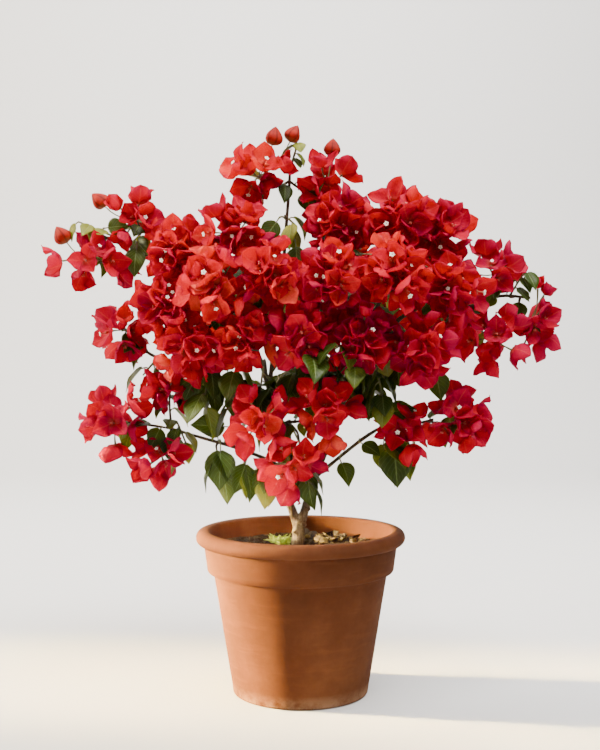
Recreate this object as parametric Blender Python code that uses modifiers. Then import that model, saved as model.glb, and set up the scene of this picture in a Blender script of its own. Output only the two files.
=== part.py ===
"""Bougainvillea bonsai in a terracotta pot.

Metres, +Z up, +Y to the back.  The origin is the middle of the pot's flat base.
Tables are written in millimetres; place() and MM turn them into metres.
"""
import math
import random
from collections import namedtuple

import bmesh
import bpy
from mathutils import Matrix, Vector, noise
from mathutils.bvhtree import BVHTree

MM = 0.001
GAP = 0.35 * MM                 # air left between two nodes that meet
SEED = 11

# ---- pot (mm) ----
POT_SEGMENTS = 32
LIP_RADIUS, LIP_TOP, LIP_ROLL = 120.0, 185.4, 8.0
MOUTH_RADIUS = 104.0
COLLAR_TOP_RADIUS, COLLAR_FOOT_RADIUS, COLLAR_FOOT = 110.6, 107.0, 138.6
WALL_TOP_RADIUS, BASE_RADIUS = 100.0, 77.0
WALL, FLOOR = 9.0, 12.0
DRAIN_RADIUS, DRAIN_RING, DRAIN_COUNT = 6.0, 42.0, 3

# ---- soil (mm) ----
SOIL_TOP, SOIL_RELIEF = 165.0, 3.0
SOIL_RINGS = (20.0, 42.0, 64.0, 84.0)

# ---- wood (mm) ----
STUB_DEPTH, STUB_RADIUS = 40.0, 7.0
STEM_SIDES, LIMB_SIDES, TWIG_SIDES = 8, 4, 3
TWIG_START, TWIG_TIP, TWIG_ROOT = 2.1, 1.5, 1.5
TWIG_SPANS, TWIG_END, SHORT_TWIG = 2, 4.0, 22.0
STALK_RADIUS, STALK_REACH = 1.3, 3.0
SHOOT_FOOT, SHOOT_TIP = 1.5, 1.2
HUB_DEPTH, STEM_DEPTH = 1.5, 0.9        # how far a fine stalk's pointed end passes its root

# ---- blooms, buds and leaves (mm) ----
BRACT = 28.5                    # from a bloom's middle to the tip of a bract
BLOOM_SIDES = 12
CUP = (28, 58)                  # how far the bracts rise, in degrees
BRACT_NOTCH, BRACT_SHOULDER, SHOULDER_TURN = 0.52, 0.79, 6.0
BLOOM_TOP, BLOOM_BOTTOM = 0.6, 1.6
PEDICEL_RADIUS = 1.1            # of the three-sided stalk, where it meets the bloom
HUB_SHARE = 0.25
BUD_RADIUS, BUD_LENGTH = 8.0, 20.0
BUD_RIB, BUD_TAPER = 0.16, 0.45         # of the radius: how far the ribs stand out, and the narrowing
BUD_BELLY, BUD_RISE = 0.38, 0.55        # of the length: where the bud is widest, and its upper part
LEAF_TOP, LEAF_BOTTOM, LEAF_FOLD = 0.5, 0.9, 0.22
PETIOLE_RADIUS, PETIOLE_SHARE = 1.0, 0.24
LEAF_HANG, LEAF_TURN = (0.9, 1.9), 0.75         # leaves hang, and turn their faces to the light
BLOOM_APEX = Vector((0, 0, -BLOOM_BOTTOM * MM))
TRIES = 14
GOLDEN = math.radians(137.508)

Solid = namedtuple("Solid", "points faces")
Body = namedtuple("Body", "node tree middle reach")
bodies = []                     # everything placed so far, for the clearance test

# Limbs, each a smooth tube through points (x, y, z, radius).
LIMBS = {
    "stem": ((-4, 0, 158, 7.6), (-3, 0, 172, 7.2), (-2, 0, 184, 7.0), (-3, 0, 196, 5.6)),
    "left": ((-2, 0, 184, 5.6), (-9, 0, 206, 5.0), (-17, 2, 228, 4.8), (-25, 4, 280, 4.3),
             (-37, 6, 350, 3.7), (-58, 6, 402, 3.1), (-92, 2, 438, 2.6), (-124, 0, 462, 2.1)),
    "right": ((-2, 0, 184, 5.6), (7, 0, 214, 5.0), (18, 0, 250, 4.7), (38, 0, 303, 4.2),
              (56, 0, 350, 3.7), (84, 0, 398, 3.1), (122, 0, 432, 2.6), (160, 0, 446, 2.1)),
    "leader": ((-36, 6, 346, 2.8), (-30, 12, 400, 2.6), (-22, 10, 460, 2.3), (-18, 4, 512, 2.0),
               (-14, 0, 562, 1.8), (-12, -2, 592, 1.5)),
    "arm_left": ((-110, 0, 452, 2.2), (-152, 2, 482, 2.1), (-184, 0, 504, 1.9), (-212, -4, 514, 1.7),
                 (-240, -4, 528, 1.5)),
    "mid_left": ((-52, 6, 390, 2.3), (-105, 2, 380, 2.1), (-155, -4, 380, 1.8), (-182, -6, 392, 1.5)),
    "low_left": ((-21, 3, 255, 2.4), (-44, -4, 268, 2.2), (-75, -8, 280, 2.0), (-112, -12, 291, 1.8),
                 (-152, -18, 304, 1.5)),
    "low_right": ((17, 0, 245, 2.3), (32, -4, 258, 2.2), (86, -12, 300, 2.0), (124, -16, 306, 1.7),
                  (150, -18, 312, 1.5)),
    "arm_right": ((150, 0, 442, 2.2), (190, 0, 440, 2.0), (228, 0, 452, 1.8), (262, 0, 450, 1.5)),
    "front": ((-27, 4, 292, 2.4), (-20, -22, 306, 2.2), (-12, -48, 312, 2.0)),
    "front_left": ((-62, 6, 406, 2.4), (-78, -22, 424, 2.2), (-88, -42, 440, 1.9)),
    "front_right": ((60, 0, 358, 2.4), (72, -28, 400, 2.2), (82, -48, 436, 1.9)),
    "back_left": ((-40, 6, 360, 2.6), (-58, 36, 412, 2.3), (-70, 52, 446, 2.0)),
    "back_right": ((66, 0, 368, 2.6), (84, 34, 420, 2.3), (96, 50, 456, 2.0)),
    "top_right": ((96, 0, 410, 2.4), (104, -4, 455, 2.1), (106, -6, 490, 1.9)),
}

THICK_LIMBS = ("stem", "left", "right")

# Heads of bracts: middle (x, y, z), facing, reach of the blooms, spread (degrees), blooms, limb.
HEADS = {
    "head_top_left": ((-46, -14, 586), (-0.5, -0.4, 0.6), (21, 21, 21), 125, 6, "leader"),
    "head_top_right": ((30, 2, 580), (0.6, -0.4, 0.5), (20, 20, 20), 125, 5, "leader"),
    "head_arm_left": ((-186, -6, 538), (-0.3, -0.5, 0.8), (17, 17, 17), 120, 5, "arm_left"),
    "head_arm_tip": ((-234, -10, 490), (-0.2, -0.7, -0.5), (34, 16, 12), 130, 5, "arm_left"),
    "head_left_top_a": ((-134, -28, 500), (-0.6, -0.4, 0.6), (25, 25, 25), 105, 6, "left"),
    "head_left_top_b": ((-74, -44, 518), (0.1, -0.5, 0.8), (26, 26, 26), 105, 6, "front_left"),
    "head_left_side": ((-146, -32, 438), (-0.8, -0.6, 0.0), (25, 25, 25), 105, 6, "left"),
    "head_left_front": ((-92, -80, 458), (0.0, -1.0, 0.2), (26, 26, 26), 100, 6, "front_left"),
    "head_left_low_a": ((-120, -60, 392), (-0.4, -0.7, -0.5), (24, 24, 24), 105, 5, "front_left"),
    "head_left_low_b": ((-64, -72, 404), (0.1, -0.9, -0.4), (24, 24, 24), 105, 5, "front_left"),
    "head_notch": ((-30, -84, 468), (0.0, -1.0, 0.3), (24, 24, 24), 100, 6, "front_left"),
    "head_notch_low": ((2, -82, 408), (0.0, -0.9, -0.4), (24, 24, 24), 100, 5, "front_right"),
    "head_right_top_a": ((44, -32, 528), (-0.2, -0.5, 0.8), (25, 25, 25), 105, 6, "top_right"),
    "head_right_top_b": ((110, -38, 532), (0.1, -0.5, 0.8), (26, 26, 26), 105, 6, "top_right"),
    "head_right_top_c": ((154, -16, 518), (0.6, -0.4, 0.6), (25, 25, 25), 105, 6, "top_right"),
    "head_right_front_a": ((38, -88, 464), (-0.1, -1.0, 0.2), (26, 26, 26), 100, 6, "front_right"),
    "head_right_front_b": ((100, -92, 470), (0.2, -1.0, 0.2), (26, 26, 26), 100, 6, "front_right"),
    "head_right_side": ((162, -48, 455), (0.6, -0.8, 0.1), (25, 25, 25), 105, 6, "right"),
    "head_right_low_a": ((64, -84, 402), (0.0, -0.9, -0.4), (24, 24, 24), 105, 6, "front_right"),
    "head_right_low_b": ((127, -66, 392), (0.3, -0.8, -0.4), (24, 24, 24), 105, 6, "front_right"),
    "head_far_right_top": ((218, -10, 476), (0.3, -0.5, 0.8), (21, 21, 21), 115, 5, "arm_right"),
    "head_far_right_low": ((214, -14, 404), (0.5, -0.6, -0.5), (24, 24, 24), 115, 6, "arm_right"),
    "head_tip_right": ((262, -2, 416), (0.7, -0.4, -0.5), (16, 16, 16), 110, 4, "arm_right"),
    "head_mid_left": ((-198, -8, 412), (-0.6, -0.5, 0.4), (19, 19, 19), 130, 6, "mid_left"),
    "head_low_left_a": ((-206, -22, 310), (-0.7, -0.5, 0.1), (24, 24, 24), 135, 6, "low_left"),
    "head_low_left_b": ((-156, -26, 272), (-0.2, -0.5, -0.8), (18, 18, 18), 120, 4, "low_left"),
    "head_low_left_c": ((-146, -28, 346), (0.1, -0.4, 0.9), (12, 12, 12), 110, 4, "low_left"),
    "head_low_mid_a": ((-42, -80, 316), (-0.6, -0.7, 0.3), (23, 23, 23), 120, 6, "front"),
    "head_low_mid_b": ((26, -76, 324), (0.6, -0.7, 0.4), (23, 23, 23), 120, 6, "front"),
    "head_low_mid_c": ((-10, -84, 268), (0.0, -0.7, -0.7), (21, 21, 21), 120, 5, "front"),
    "head_low_right_a": ((118, -36, 302), (-0.2, -0.8, -0.2), (16, 16, 16), 110, 4, "low_right"),
    "head_low_right_b": ((176, -20, 312), (0.7, -0.5, 0.2), (25, 25, 25), 125, 7, "low_right"),
    "head_back_a": ((-122, 52, 484), (-0.6, 0.6, 0.5), (29, 29, 29), 110, 6, "back_left"),
    "head_back_b": ((-58, 72, 496), (0.0, 0.8, 0.6), (29, 29, 29), 110, 6, "back_left"),
    "head_back_c": ((-88, 78, 420), (-0.4, 0.9, -0.2), (29, 29, 29), 110, 6, "back_left"),
    "head_back_d": ((2, 92, 450), (0.0, 1.0, 0.0), (29, 29, 29), 110, 6, "back_left"),
    "head_back_e": ((62, 76, 504), (0.0, 0.8, 0.6), (29, 29, 29), 110, 6, "back_right"),
    "head_back_f": ((134, 54, 496), (0.6, 0.6, 0.5), (29, 29, 29), 110, 6, "back_right"),
    "head_back_g": ((100, 84, 428), (0.4, 0.9, -0.2), (29, 29, 29), 110, 6, "back_right"),
    "head_back_h": ((176, 42, 430), (0.8, 0.5, -0.1), (27, 27, 27), 110, 6, "right"),
}

# Closed buds that a head also carries: (x, y, z) of the bud's middle.
BUDS = {
    "head_top_left": ((-30, -16, 630), (-8, -10, 634)),
    "head_top_right": ((36, -2, 620),),
    "head_arm_left": ((-228, -6, 560),),
    "head_arm_tip": ((-270, -8, 520),),
    "head_tip_right": ((270, -2, 470), (283, -4, 461), (278, -8, 442), (291, 0, 430)),
}

# Leafy stems: foot (x, y, z), tip (x, y, z), leaves, leaf length, limb.
SHOOTS = {
    "shoot_under_left_a": ((-100, -34, 372), (-108, -44, 330), 5, 40, "mid_left"),
    "shoot_under_left_b": ((-70, -34, 384), (-74, -50, 326), 6, 42, "left"),
    "shoot_under_left_c": ((-42, -22, 372), (-48, -36, 318), 6, 42, "left"),
    "shoot_low_left_a": ((-95, -13, 277), (-92, -18, 258), 3, 44, "low_left"),
    "shoot_low_left_b": ((-63, -11, 266), (-68, -16, 248), 3, 36, "low_left"),
    "shoot_low_left_c": ((-138, -18, 306), (-128, -30, 286), 4, 34, "low_left"),
    "shoot_trunk_left": ((-34, -14, 262), (-42, -26, 240), 3, 38, "low_left"),
    "shoot_trunk_front": ((-2, -44, 292), (6, -56, 244), 4, 40, "front"),
    "shoot_low_right_a": ((92, -17, 292), (108, -21, 276), 5, 42, "low_right"),
    "shoot_under_right": ((84, -34, 376), (92, -46, 330), 6, 42, "right"),
    "shoot_under_mid": ((36, -14, 368), (24, -24, 334), 6, 38, "right"),
    "shoot_mid_left": ((-166, -11, 377), (-178, -16, 362), 3, 36, "mid_left"),
    "shoot_top": ((-10, -4, 602), (-4, -8, 622), 4, 22, "leader"),
    "shoot_leader": ((-14, -4, 540), (-4, -8, 530), 3, 34, "leader"),
    "shoot_arm_left": ((-214, -10, 520), (-252, -8, 536), 5, 23, "arm_left"),
    "shoot_arm_right": ((240, -6, 456), (252, -8, 476), 4, 27, "arm_right"),
    "shoot_back": ((20, 48, 380), (26, 78, 338), 7, 42, "right"),
}


def place(x, y, z):
    return Vector((x, y, z)) * MM


# ---- solids as points and faces ----
def solid_of(bm):
    """Take the points and faces of a bmesh and free it."""
    bm.verts.ensure_lookup_table()
    solid = Solid([v.co.copy() for v in bm.verts], [[v.index for v in f.verts] for f in bm.faces])
    bm.free()
    return solid


def moved(solid, matrix):
    return Solid([matrix @ p for p in solid.points], solid.faces)


def frame_along(direction, origin, spin=0.0):
    """Matrix that takes +Z to the direction and the origin to the given point."""
    turn = direction.to_track_quat("Z", "Y").to_matrix().to_4x4()
    return Matrix.Translation(origin) @ turn @ Matrix.Rotation(spin, 4, "Z")


def sphere(segments, rings):
    bm = bmesh.new()
    bmesh.ops.create_uvsphere(bm, u_segments=segments, v_segments=rings, radius=1.0)
    return solid_of(bm)


def rod(start, end, radius_a, radius_b, sides):
    """Tapered rod with flat ends."""
    bm = bmesh.new()
    bmesh.ops.create_cone(bm, cap_ends=True, segments=sides, radius1=radius_a, radius2=radius_b,
                          depth=(end - start).length)
    return moved(solid_of(bm), frame_along(end - start, (start + end) / 2))


def hub(middle, radius):
    return moved(HUB_BLANK, Matrix.Translation(middle) @ Matrix.Scale(radius, 4))


HUB_BLANK = sphere(4, 2)
BLOOM_BLANK = sphere(BLOOM_SIDES, 3)
BUD_BLANK = sphere(6, 4)
LEAF_BLANK = sphere(8, 3)
LEAF_OUTLINE = (0.60, 0.40, 0.37, 0.42, 0.32)   # from the tip round to the stalk, in leaf lengths


def reshaped(blank, shape):
    """Move each point of a blank by a rule and merge the points that fall together."""
    bm = bmesh.new()
    points = [bm.verts.new(shape(p)) for p in blank.points]
    for face in blank.faces:
        bm.faces.new([points[i] for i in face])
    bmesh.ops.remove_doubles(bm, verts=bm.verts, dist=0.01 * MM)
    return solid_of(bm)


def collar(angle, radius, centre):
    """One of three points round a thin stalk, the one nearest the angle."""
    third = 2 * math.pi / 3
    angle = third * round(angle / third)
    return centre + Vector((radius * math.cos(angle), radius * math.sin(angle), 0))


def bloom(size, cup, foot, extra=0.0):
    """Three pointed bracts in one thin cupped blade that opens along +Z, on a stalk from foot."""
    def shape(p):
        angle = math.atan2(p.y, p.x)
        if p.z > 0.9:
            return Vector((0, 0, BLOOM_TOP * MM + extra))
        if p.z < -0.9:
            return foot
        if p.z < 0:
            return collar(angle, PEDICEL_RADIUS * MM + extra, Vector((0, 0, -BLOOM_BOTTOM * MM - extra)))
        tip = (1 + math.cos(3 * angle)) / 2                  # 1 at a bract's tip, 0 between two bracts
        side = math.sin(3 * angle)                           # 1 or -1 on a bract's two shoulders
        notch = BRACT_NOTCH + (1 - BRACT_NOTCH) * tip
        radius = size * (notch + (BRACT_SHOULDER - (1 + BRACT_NOTCH) / 2) * side ** 2) + extra
        angle += math.radians(SHOULDER_TURN) * side
        height = radius * math.sin(cup) * (0.9 + 0.30 * side ** 2)
        flat = radius * math.cos(cup)
        return Vector((flat * math.cos(angle), flat * math.sin(angle), height))
    return reshaped(BLOOM_BLANK, shape)


def bud(foot, extra=0.0):
    """Closed bracts, a pointed three-ribbed drop up +Z, on a stalk from foot."""
    def shape(p):
        angle = math.atan2(p.y, p.x)
        if p.z > 0.9:
            return Vector((0, 0, BUD_LENGTH * MM + extra))
        if p.z < -0.9:
            return foot
        if p.z < -0.1:
            return collar(angle, PEDICEL_RADIUS * MM + extra, Vector((0, 0, -extra)))
        reach = BUD_RADIUS * MM * (1 + BUD_RIB * math.cos(3 * angle)) * (1 - BUD_TAPER * p.z) + extra
        height = (BUD_BELLY + BUD_RISE * p.z) * BUD_LENGTH * MM
        return Vector((reach * math.cos(angle), reach * math.sin(angle), height))
    return reshaped(BUD_BLANK, shape)


def leaf(length, droop, foot, extra=0.0):
    """Pointed heart-shaped blade along +X, folded up from its midrib, on a stalk from foot."""
    middle = LEAF_OUTLINE[-1] * length

    def shape(p):
        angle = math.atan2(p.y, p.x)
        if p.z > 0.9:
            return Vector((middle, 0, LEAF_TOP * MM + extra))
        if p.z < -0.9:
            return foot
        if p.z < 0:
            below = Vector((middle, 0, -LEAF_BOTTOM * MM - extra))
            return collar(angle, PETIOLE_RADIUS * MM + extra, below)
        radius = LEAF_OUTLINE[round(abs(angle) / (math.pi / 4))] * length + extra
        ahead, side = radius * math.cos(angle), radius * math.sin(angle)
        height = LEAF_FOLD * abs(side) - droop * max(0.0, ahead) ** 2 / length
        return Vector((middle + ahead, side, height))
    return reshaped(LEAF_BLANK, shape)


# ---- clearance between nodes ----
def middle_and_reach(points):
    middle = sum(points, Vector()) / len(points)
    return middle, max((p - middle).length for p in points)


def keep(node, solid):
    middle, reach = middle_and_reach(solid.points)
    bodies.append(Body(node, BVHTree.FromPolygons(solid.points, solid.faces), middle, reach))


def touches(solid, others):
    middle, reach = middle_and_reach(solid.points)
    tree = BVHTree.FromPolygons(solid.points, solid.faces)
    near = (body for body in others if (body.middle - middle).length < body.reach + reach)
    return any(tree.overlap(body.tree) for body in near)


def fits(node, whole, swollen, blade):
    """True where a shape is sound, clears other nodes, and its blade clears its own node."""
    others = [body for body in bodies if body.node != node]
    own = [body for body in bodies if body.node == node]
    return is_simple(whole) and not touches(swollen, others) and not touches(blade, own)


def is_simple(solid):
    """True where the solid's faces don't cross each other."""
    tree = BVHTree.FromPolygons(solid.points, solid.faces)
    return not tree.overlap(tree)


# ---- Blender objects ----
def collection(name):
    made = bpy.data.collections.new(name)
    bpy.context.scene.collection.children.link(made)
    return made


def principled(name, colour, roughness):
    material = bpy.data.materials.new(name)
    material.use_nodes = True
    shader = material.node_tree.nodes["Principled BSDF"]
    shader.inputs["Base Color"].default_value = (*colour, 1.0)
    shader.inputs["Roughness"].default_value = roughness
    shader.inputs["Metallic"].default_value = 0.0
    return material


def object_of(solid, name, home):
    mesh = bpy.data.meshes.new(name)
    mesh.from_pydata(solid.points, [], solid.faces)
    obj = bpy.data.objects.new(name, mesh)
    home.objects.link(obj)
    return obj


def applied(obj):
    """Replace the object's mesh by what its modifiers make of it."""
    graph = bpy.context.evaluated_depsgraph_get()
    mesh = bpy.data.meshes.new_from_object(obj.evaluated_get(graph))
    obj.modifiers.clear()
    obj.data = mesh
    return obj


def fused(name, solids, material, home):
    """One closed body from solids that overlap."""
    loose = collection(name + "_pieces")
    first = object_of(solids[0], name, home)
    for number, solid in enumerate(solids[1:]):
        object_of(solid, f"{name}_piece_{number}", loose)
    union = first.modifiers.new("join", "BOOLEAN")
    union.operation = "UNION"
    union.operand_type = "COLLECTION"
    union.collection = loose
    union.solver = "MANIFOLD"
    applied(first)
    for obj in list(loose.objects):
        bpy.data.objects.remove(obj)
    bpy.data.collections.remove(loose)
    first.data.materials.clear()
    first.data.materials.append(material)
    return first


def tube(points, radii, sides):
    """Tube along a polyline, as a solid; radii are in mm."""
    curve = bpy.data.curves.new("tube", "CURVE")
    curve.dimensions = "3D"
    curve.bevel_depth = MM
    curve.bevel_resolution = (sides - 4) // 2
    curve.use_fill_caps = True
    spline = curve.splines.new("POLY")
    spline.points.add(len(points) - 1)
    for target, point, radius in zip(spline.points, points, radii):
        target.co = (*point, 1.0)
        target.radius = radius
    obj = bpy.data.objects.new("tube", curve)
    bpy.context.scene.collection.objects.link(obj)
    graph = bpy.context.evaluated_depsgraph_get()
    mesh = bpy.data.meshes.new_from_object(obj.evaluated_get(graph))
    bpy.data.objects.remove(obj)
    bm = bmesh.new()
    bm.from_mesh(mesh)
    bmesh.ops.remove_doubles(bm, verts=bm.verts, dist=0.001 * MM)
    bpy.data.meshes.remove(mesh)
    return solid_of(bm)


def strand(route, radii):
    """Few-sided twig along a route, pointed at its start and flat at its end."""
    rings = len(route)
    turns, heading = [], route[1] - route[0]
    turn = heading.to_track_quat("Z", "Y")
    for i, point in enumerate(route):
        ahead = point - route[i - 1] if i else heading
        turn = heading.rotation_difference(ahead) @ turn
        heading = ahead
        turns.append(turn)

    def shape(p):
        i = min(rings - 1, rings - round(math.acos(max(-1.0, min(1.0, p.z))) * rings / math.pi))
        if abs(p.z) > 0.99:
            return route[i]
        angle = math.atan2(p.y, p.x)
        return route[i] + turns[i] @ Vector((math.cos(angle), math.sin(angle), 0)) * radii[i] * MM
    return reshaped(sphere(TWIG_SIDES, rings), shape)


def smooth_route(knots, per_span):
    """Catmull-Rom curve through knots of any length, per_span points to a span."""
    ends = [2 * knots[0] - knots[1], *knots, 2 * knots[-1] - knots[-2]]
    route = []
    for a, b, c, d in zip(ends, ends[1:], ends[2:], ends[3:]):
        for step in range(per_span):
            t = step / per_span
            route.append(0.5 * (2 * b + (c - a) * t + (2 * a - 5 * b + 4 * c - d) * t * t
                                + (3 * b - a - 3 * c + d) * t ** 3))
    return [*route, knots[-1]]


def limb_route(name, per_span=1):
    """Points (metres) and radii (mm) of a limb."""
    knots = [Vector(knot) for knot in LIMBS[name]]
    route = smooth_route(knots, per_span)
    return [place(*p[:3]) for p in route], [p[3] for p in route]


# ---- pot and soil ----
def turned(name, profile, home):
    """Turn a profile (radius, height in mm) that starts and ends on the axis."""
    mesh = bpy.data.meshes.new(name)
    edges = [(i, i + 1) for i in range(len(profile) - 1)]
    mesh.from_pydata([place(r, 0, z) for r, z in profile], edges, [])
    obj = bpy.data.objects.new(name, mesh)
    home.objects.link(obj)
    screw = obj.modifiers.new("turn", "SCREW")
    screw.steps = screw.render_steps = POT_SEGMENTS
    screw.use_merge_vertices = True
    screw.merge_threshold = 0.01 * MM
    return obj


def lip_profile():
    """Rolled lip, from the mouth's edge over the top to the groove under it."""
    middle_r, middle_z = LIP_RADIUS - LIP_ROLL, LIP_TOP - LIP_ROLL
    arc = [math.radians(a) for a in (90, 50, 15, -20, -55)]
    roll = [(middle_r + LIP_ROLL * math.cos(a), middle_z + LIP_ROLL * math.sin(a)) for a in arc]
    return [(MOUTH_RADIUS, LIP_TOP - 4.5), (MOUTH_RADIUS + 2.0, LIP_TOP - 1.0), *roll]


def inner_radius(z):
    """Radius of the pot's inner wall at a height, both in mm."""
    low = BASE_RADIUS - WALL
    return low + (MOUTH_RADIUS - low) * (z - FLOOR) / (LIP_TOP - 4.5 - FLOOR)


def pot_profile():
    groove = COLLAR_TOP_RADIUS
    return [
        (0.0, FLOOR), (inner_radius(FLOOR) - 5.0, FLOOR), (inner_radius(FLOOR + 5.0), FLOOR + 5.0),
        *lip_profile(),
        (groove, LIP_TOP - 2 * LIP_ROLL),
        (COLLAR_FOOT_RADIUS + 0.3, COLLAR_FOOT + 4.0),
        (COLLAR_FOOT_RADIUS - 2.0, COLLAR_FOOT),
        (WALL_TOP_RADIUS, COLLAR_FOOT - 1.0),
        (BASE_RADIUS + 0.4, 3.0), (BASE_RADIUS - 2.2, 0.0), (0.0, 0.0),
    ]


def cut(obj, solid, name, cutters):
    """Cut the object by a solid, which stays as a hidden cutter."""
    cutter = object_of(solid, name, cutters)
    cutter.hide_render = True
    cutter.display_type = "WIRE"
    difference = obj.modifiers.new(name, "BOOLEAN")
    difference.operation = "DIFFERENCE"
    difference.object = cutter
    difference.solver = "EXACT"


def make_pot(home, cutters):
    pot = turned("pot", pot_profile(), home)
    pot.data.materials.append(principled("terracotta", (0.55, 0.22, 0.10), 0.85))
    for number in range(DRAIN_COUNT):
        angle = 2 * math.pi * (number + 0.5) / DRAIN_COUNT
        x, y = DRAIN_RING * math.cos(angle), DRAIN_RING * math.sin(angle)
        drain = rod(place(x, y, -5), place(x, y, FLOOR + 5), DRAIN_RADIUS * MM, DRAIN_RADIUS * MM, 10)
        cut(pot, drain, f"drain_{number}", cutters)
    return pot


def soil_profile():
    shrink = GAP / MM
    foot = FLOOR + shrink
    return [
        (0.0, SOIL_TOP), *[(r, SOIL_TOP) for r in SOIL_RINGS],
        (inner_radius(SOIL_TOP) - shrink, SOIL_TOP - 1.0),
        (inner_radius(foot + 5.4) - shrink, foot + 5.4),
        (inner_radius(foot) - 5.4 - shrink, foot), (0.0, foot),
    ]


def make_soil(home, cutters):
    """Potting soil with an uneven top, filling the pot to below its lip."""
    soil = applied(turned("soil", soil_profile(), home))
    for vertex in soil.data.vertices:
        radius = math.hypot(vertex.co.x, vertex.co.y)
        if vertex.co.z > (SOIL_TOP - 0.5) * MM:
            bump = noise.noise(vertex.co / (22 * MM)) + 0.6 * math.exp(-(radius / (25 * MM)) ** 2)
            vertex.co.z += SOIL_RELIEF * MM * bump
    soil.data.materials.append(principled("soil", (0.06, 0.035, 0.02), 0.95))
    x, y = LIMBS["stem"][0][:2]
    hole = rod(place(x, y, SOIL_TOP - STUB_DEPTH - 0.5), place(x, y, SOIL_TOP + 20),
               (STUB_RADIUS + 1.2) * MM, (STUB_RADIUS + 1.2) * MM, STEM_SIDES)
    cut(soil, hole, "trunk_hole", cutters)
    return soil


# ---- wood ----
def twig(limb, end, facing):
    """Twig from the nearest useful point of a limb to a point, arriving along facing."""
    points, _ = limb_route(limb)
    forks = [a.lerp(b, t / 4) for a, b in zip(points, points[1:]) for t in range(4)][2:]
    start = min(forks, key=lambda p: (p - end).length - 0.35 * (p - end).dot(facing))
    neck = end - facing * TWIG_END * MM
    bend = neck - facing * 0.4 * (neck - start).length
    spans = TWIG_SPANS if (neck - start).length > SHORT_TWIG * MM else 1
    steps = [i / spans for i in range(spans + 1)]
    route = [start * (1 - t) ** 2 + bend * 2 * t * (1 - t) + neck * t * t for t in steps]
    radii = [TWIG_START + (TWIG_TIP - TWIG_START) * t for t in steps]
    back = start - (route[1] - start).normalized() * TWIG_ROOT * MM
    return strand([back, *route, end], [0, *radii, TWIG_TIP])


def stalk_end(middle, facing):
    """Where a head's or a shoot's own stalk ends, and its twig begins beyond the gap."""
    return middle - facing * STALK_REACH * MM


def hub_radius(reach):
    return HUB_SHARE * MM * sum(reach) / 3


def wood_solids():
    x, y, z = LIMBS["stem"][0][:3]
    solids = [rod(place(x, y, SOIL_TOP - STUB_DEPTH), place(x, y, z + 4), STUB_RADIUS * MM * 0.8,
                  STUB_RADIUS * MM, STEM_SIDES)]
    for name in LIMBS:
        points, radii = limb_route(name)
        solids.append(tube(points, radii, STEM_SIDES if name in THICK_LIMBS else LIMB_SIDES))
    for name, (middle, facing, reach, _, _, limb) in HEADS.items():
        along = Vector(facing).normalized()
        foot = stalk_end(place(*middle) - along * hub_radius(reach), along)
        solids.append(twig(limb, foot - along * GAP, along))
    for name, (foot, tip, _, _, limb) in SHOOTS.items():
        along = (place(*tip) - place(*foot)).normalized()
        solids.append(twig(limb, place(*foot) - along * GAP, along))
    return solids


def make_trunk(home):
    solids = wood_solids()
    for solid in solids:
        keep("trunk", solid)
    return fused("trunk", solids, principled("bark", (0.20, 0.13, 0.08), 0.85), home)


# ---- heads ----
def cap_directions(facing, spread, count, draw):
    """Directions spread evenly over a cap round facing."""
    aim = facing.to_track_quat("Z", "Y")
    turn = draw.uniform(0, 2 * math.pi)
    for i in range(count):
        up = 1 - (i + 0.5) / count * (1 - math.cos(spread))
        angle = turn + i * GOLDEN
        side = math.sqrt(max(0.0, 1 - up * up))
        yield aim @ Vector((side * math.cos(angle), side * math.sin(angle), up))


def bloom_tries(middle, direction, reach, draw):
    """Ever smaller and more turned placings of one bloom: matrix, size and cup."""
    size = BRACT * MM * draw.uniform(0.86, 1.06)
    cup = math.radians(draw.uniform(*CUP))
    spin = draw.uniform(0, 2 * math.pi)
    out = draw.uniform(0.86, 1.14)
    lean = Vector((draw.uniform(-1, 1), draw.uniform(-1, 1), draw.uniform(-1, 1))) * 0.38
    for attempt in range(TRIES):
        step = attempt / TRIES
        wander = Vector((math.cos(2.4 * attempt), math.sin(2.4 * attempt), math.cos(3.7 * attempt)))
        heading = (direction + wander * 0.5 * step).normalized()
        axis = (heading + lean * (1 - step)).normalized()
        spot = middle + heading * reach * out * (1 + 0.25 * step)
        yield frame_along(axis, spot, spin + 0.6 * attempt), size * (1 - 0.30 * step), cup + 0.5 * step


def stalked(make, matrix, root, depth, apex, *form, extra=0.0):
    """A bloom, bud or leaf set by a matrix, its stalk drawn from its apex to end past the root."""
    root = matrix.inverted() @ root
    foot = root + (root - apex).normalized() * depth * MM
    return moved(make(*form, foot, extra=extra), matrix)


def fitted(node, make, matrix, root, depth, apex, *form):
    """The stalked shape where it fits, or None."""
    whole = stalked(make, matrix, root, depth, apex, *form)
    swollen = stalked(make, matrix, root, depth, apex, *form, extra=GAP)
    blade = moved(make(*form, apex - Vector((0, 0, MM))), matrix)
    return whole if fits(node, whole, swollen, blade) else None


def place_bloom(node, middle, direction, reach, draw):
    """The first placing that fits, or nothing."""
    for matrix, size, cup in bloom_tries(middle, direction, reach, draw):
        solid = fitted(node, bloom, matrix, middle, HUB_DEPTH, BLOOM_APEX, size, cup)
        if solid:
            return [solid]
    return []


def place_bud(middle, spot):
    """A closed bud on a thin stalk from the head's middle."""
    along = (spot - middle).normalized()
    rise = (along + Vector((0, 0, 0.5))).normalized()
    matrix = frame_along(rise, spot - rise * BUD_LENGTH * MM / 2)
    return stalked(bud, matrix, middle, HUB_DEPTH, Vector((0, 0, 0)))


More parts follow.
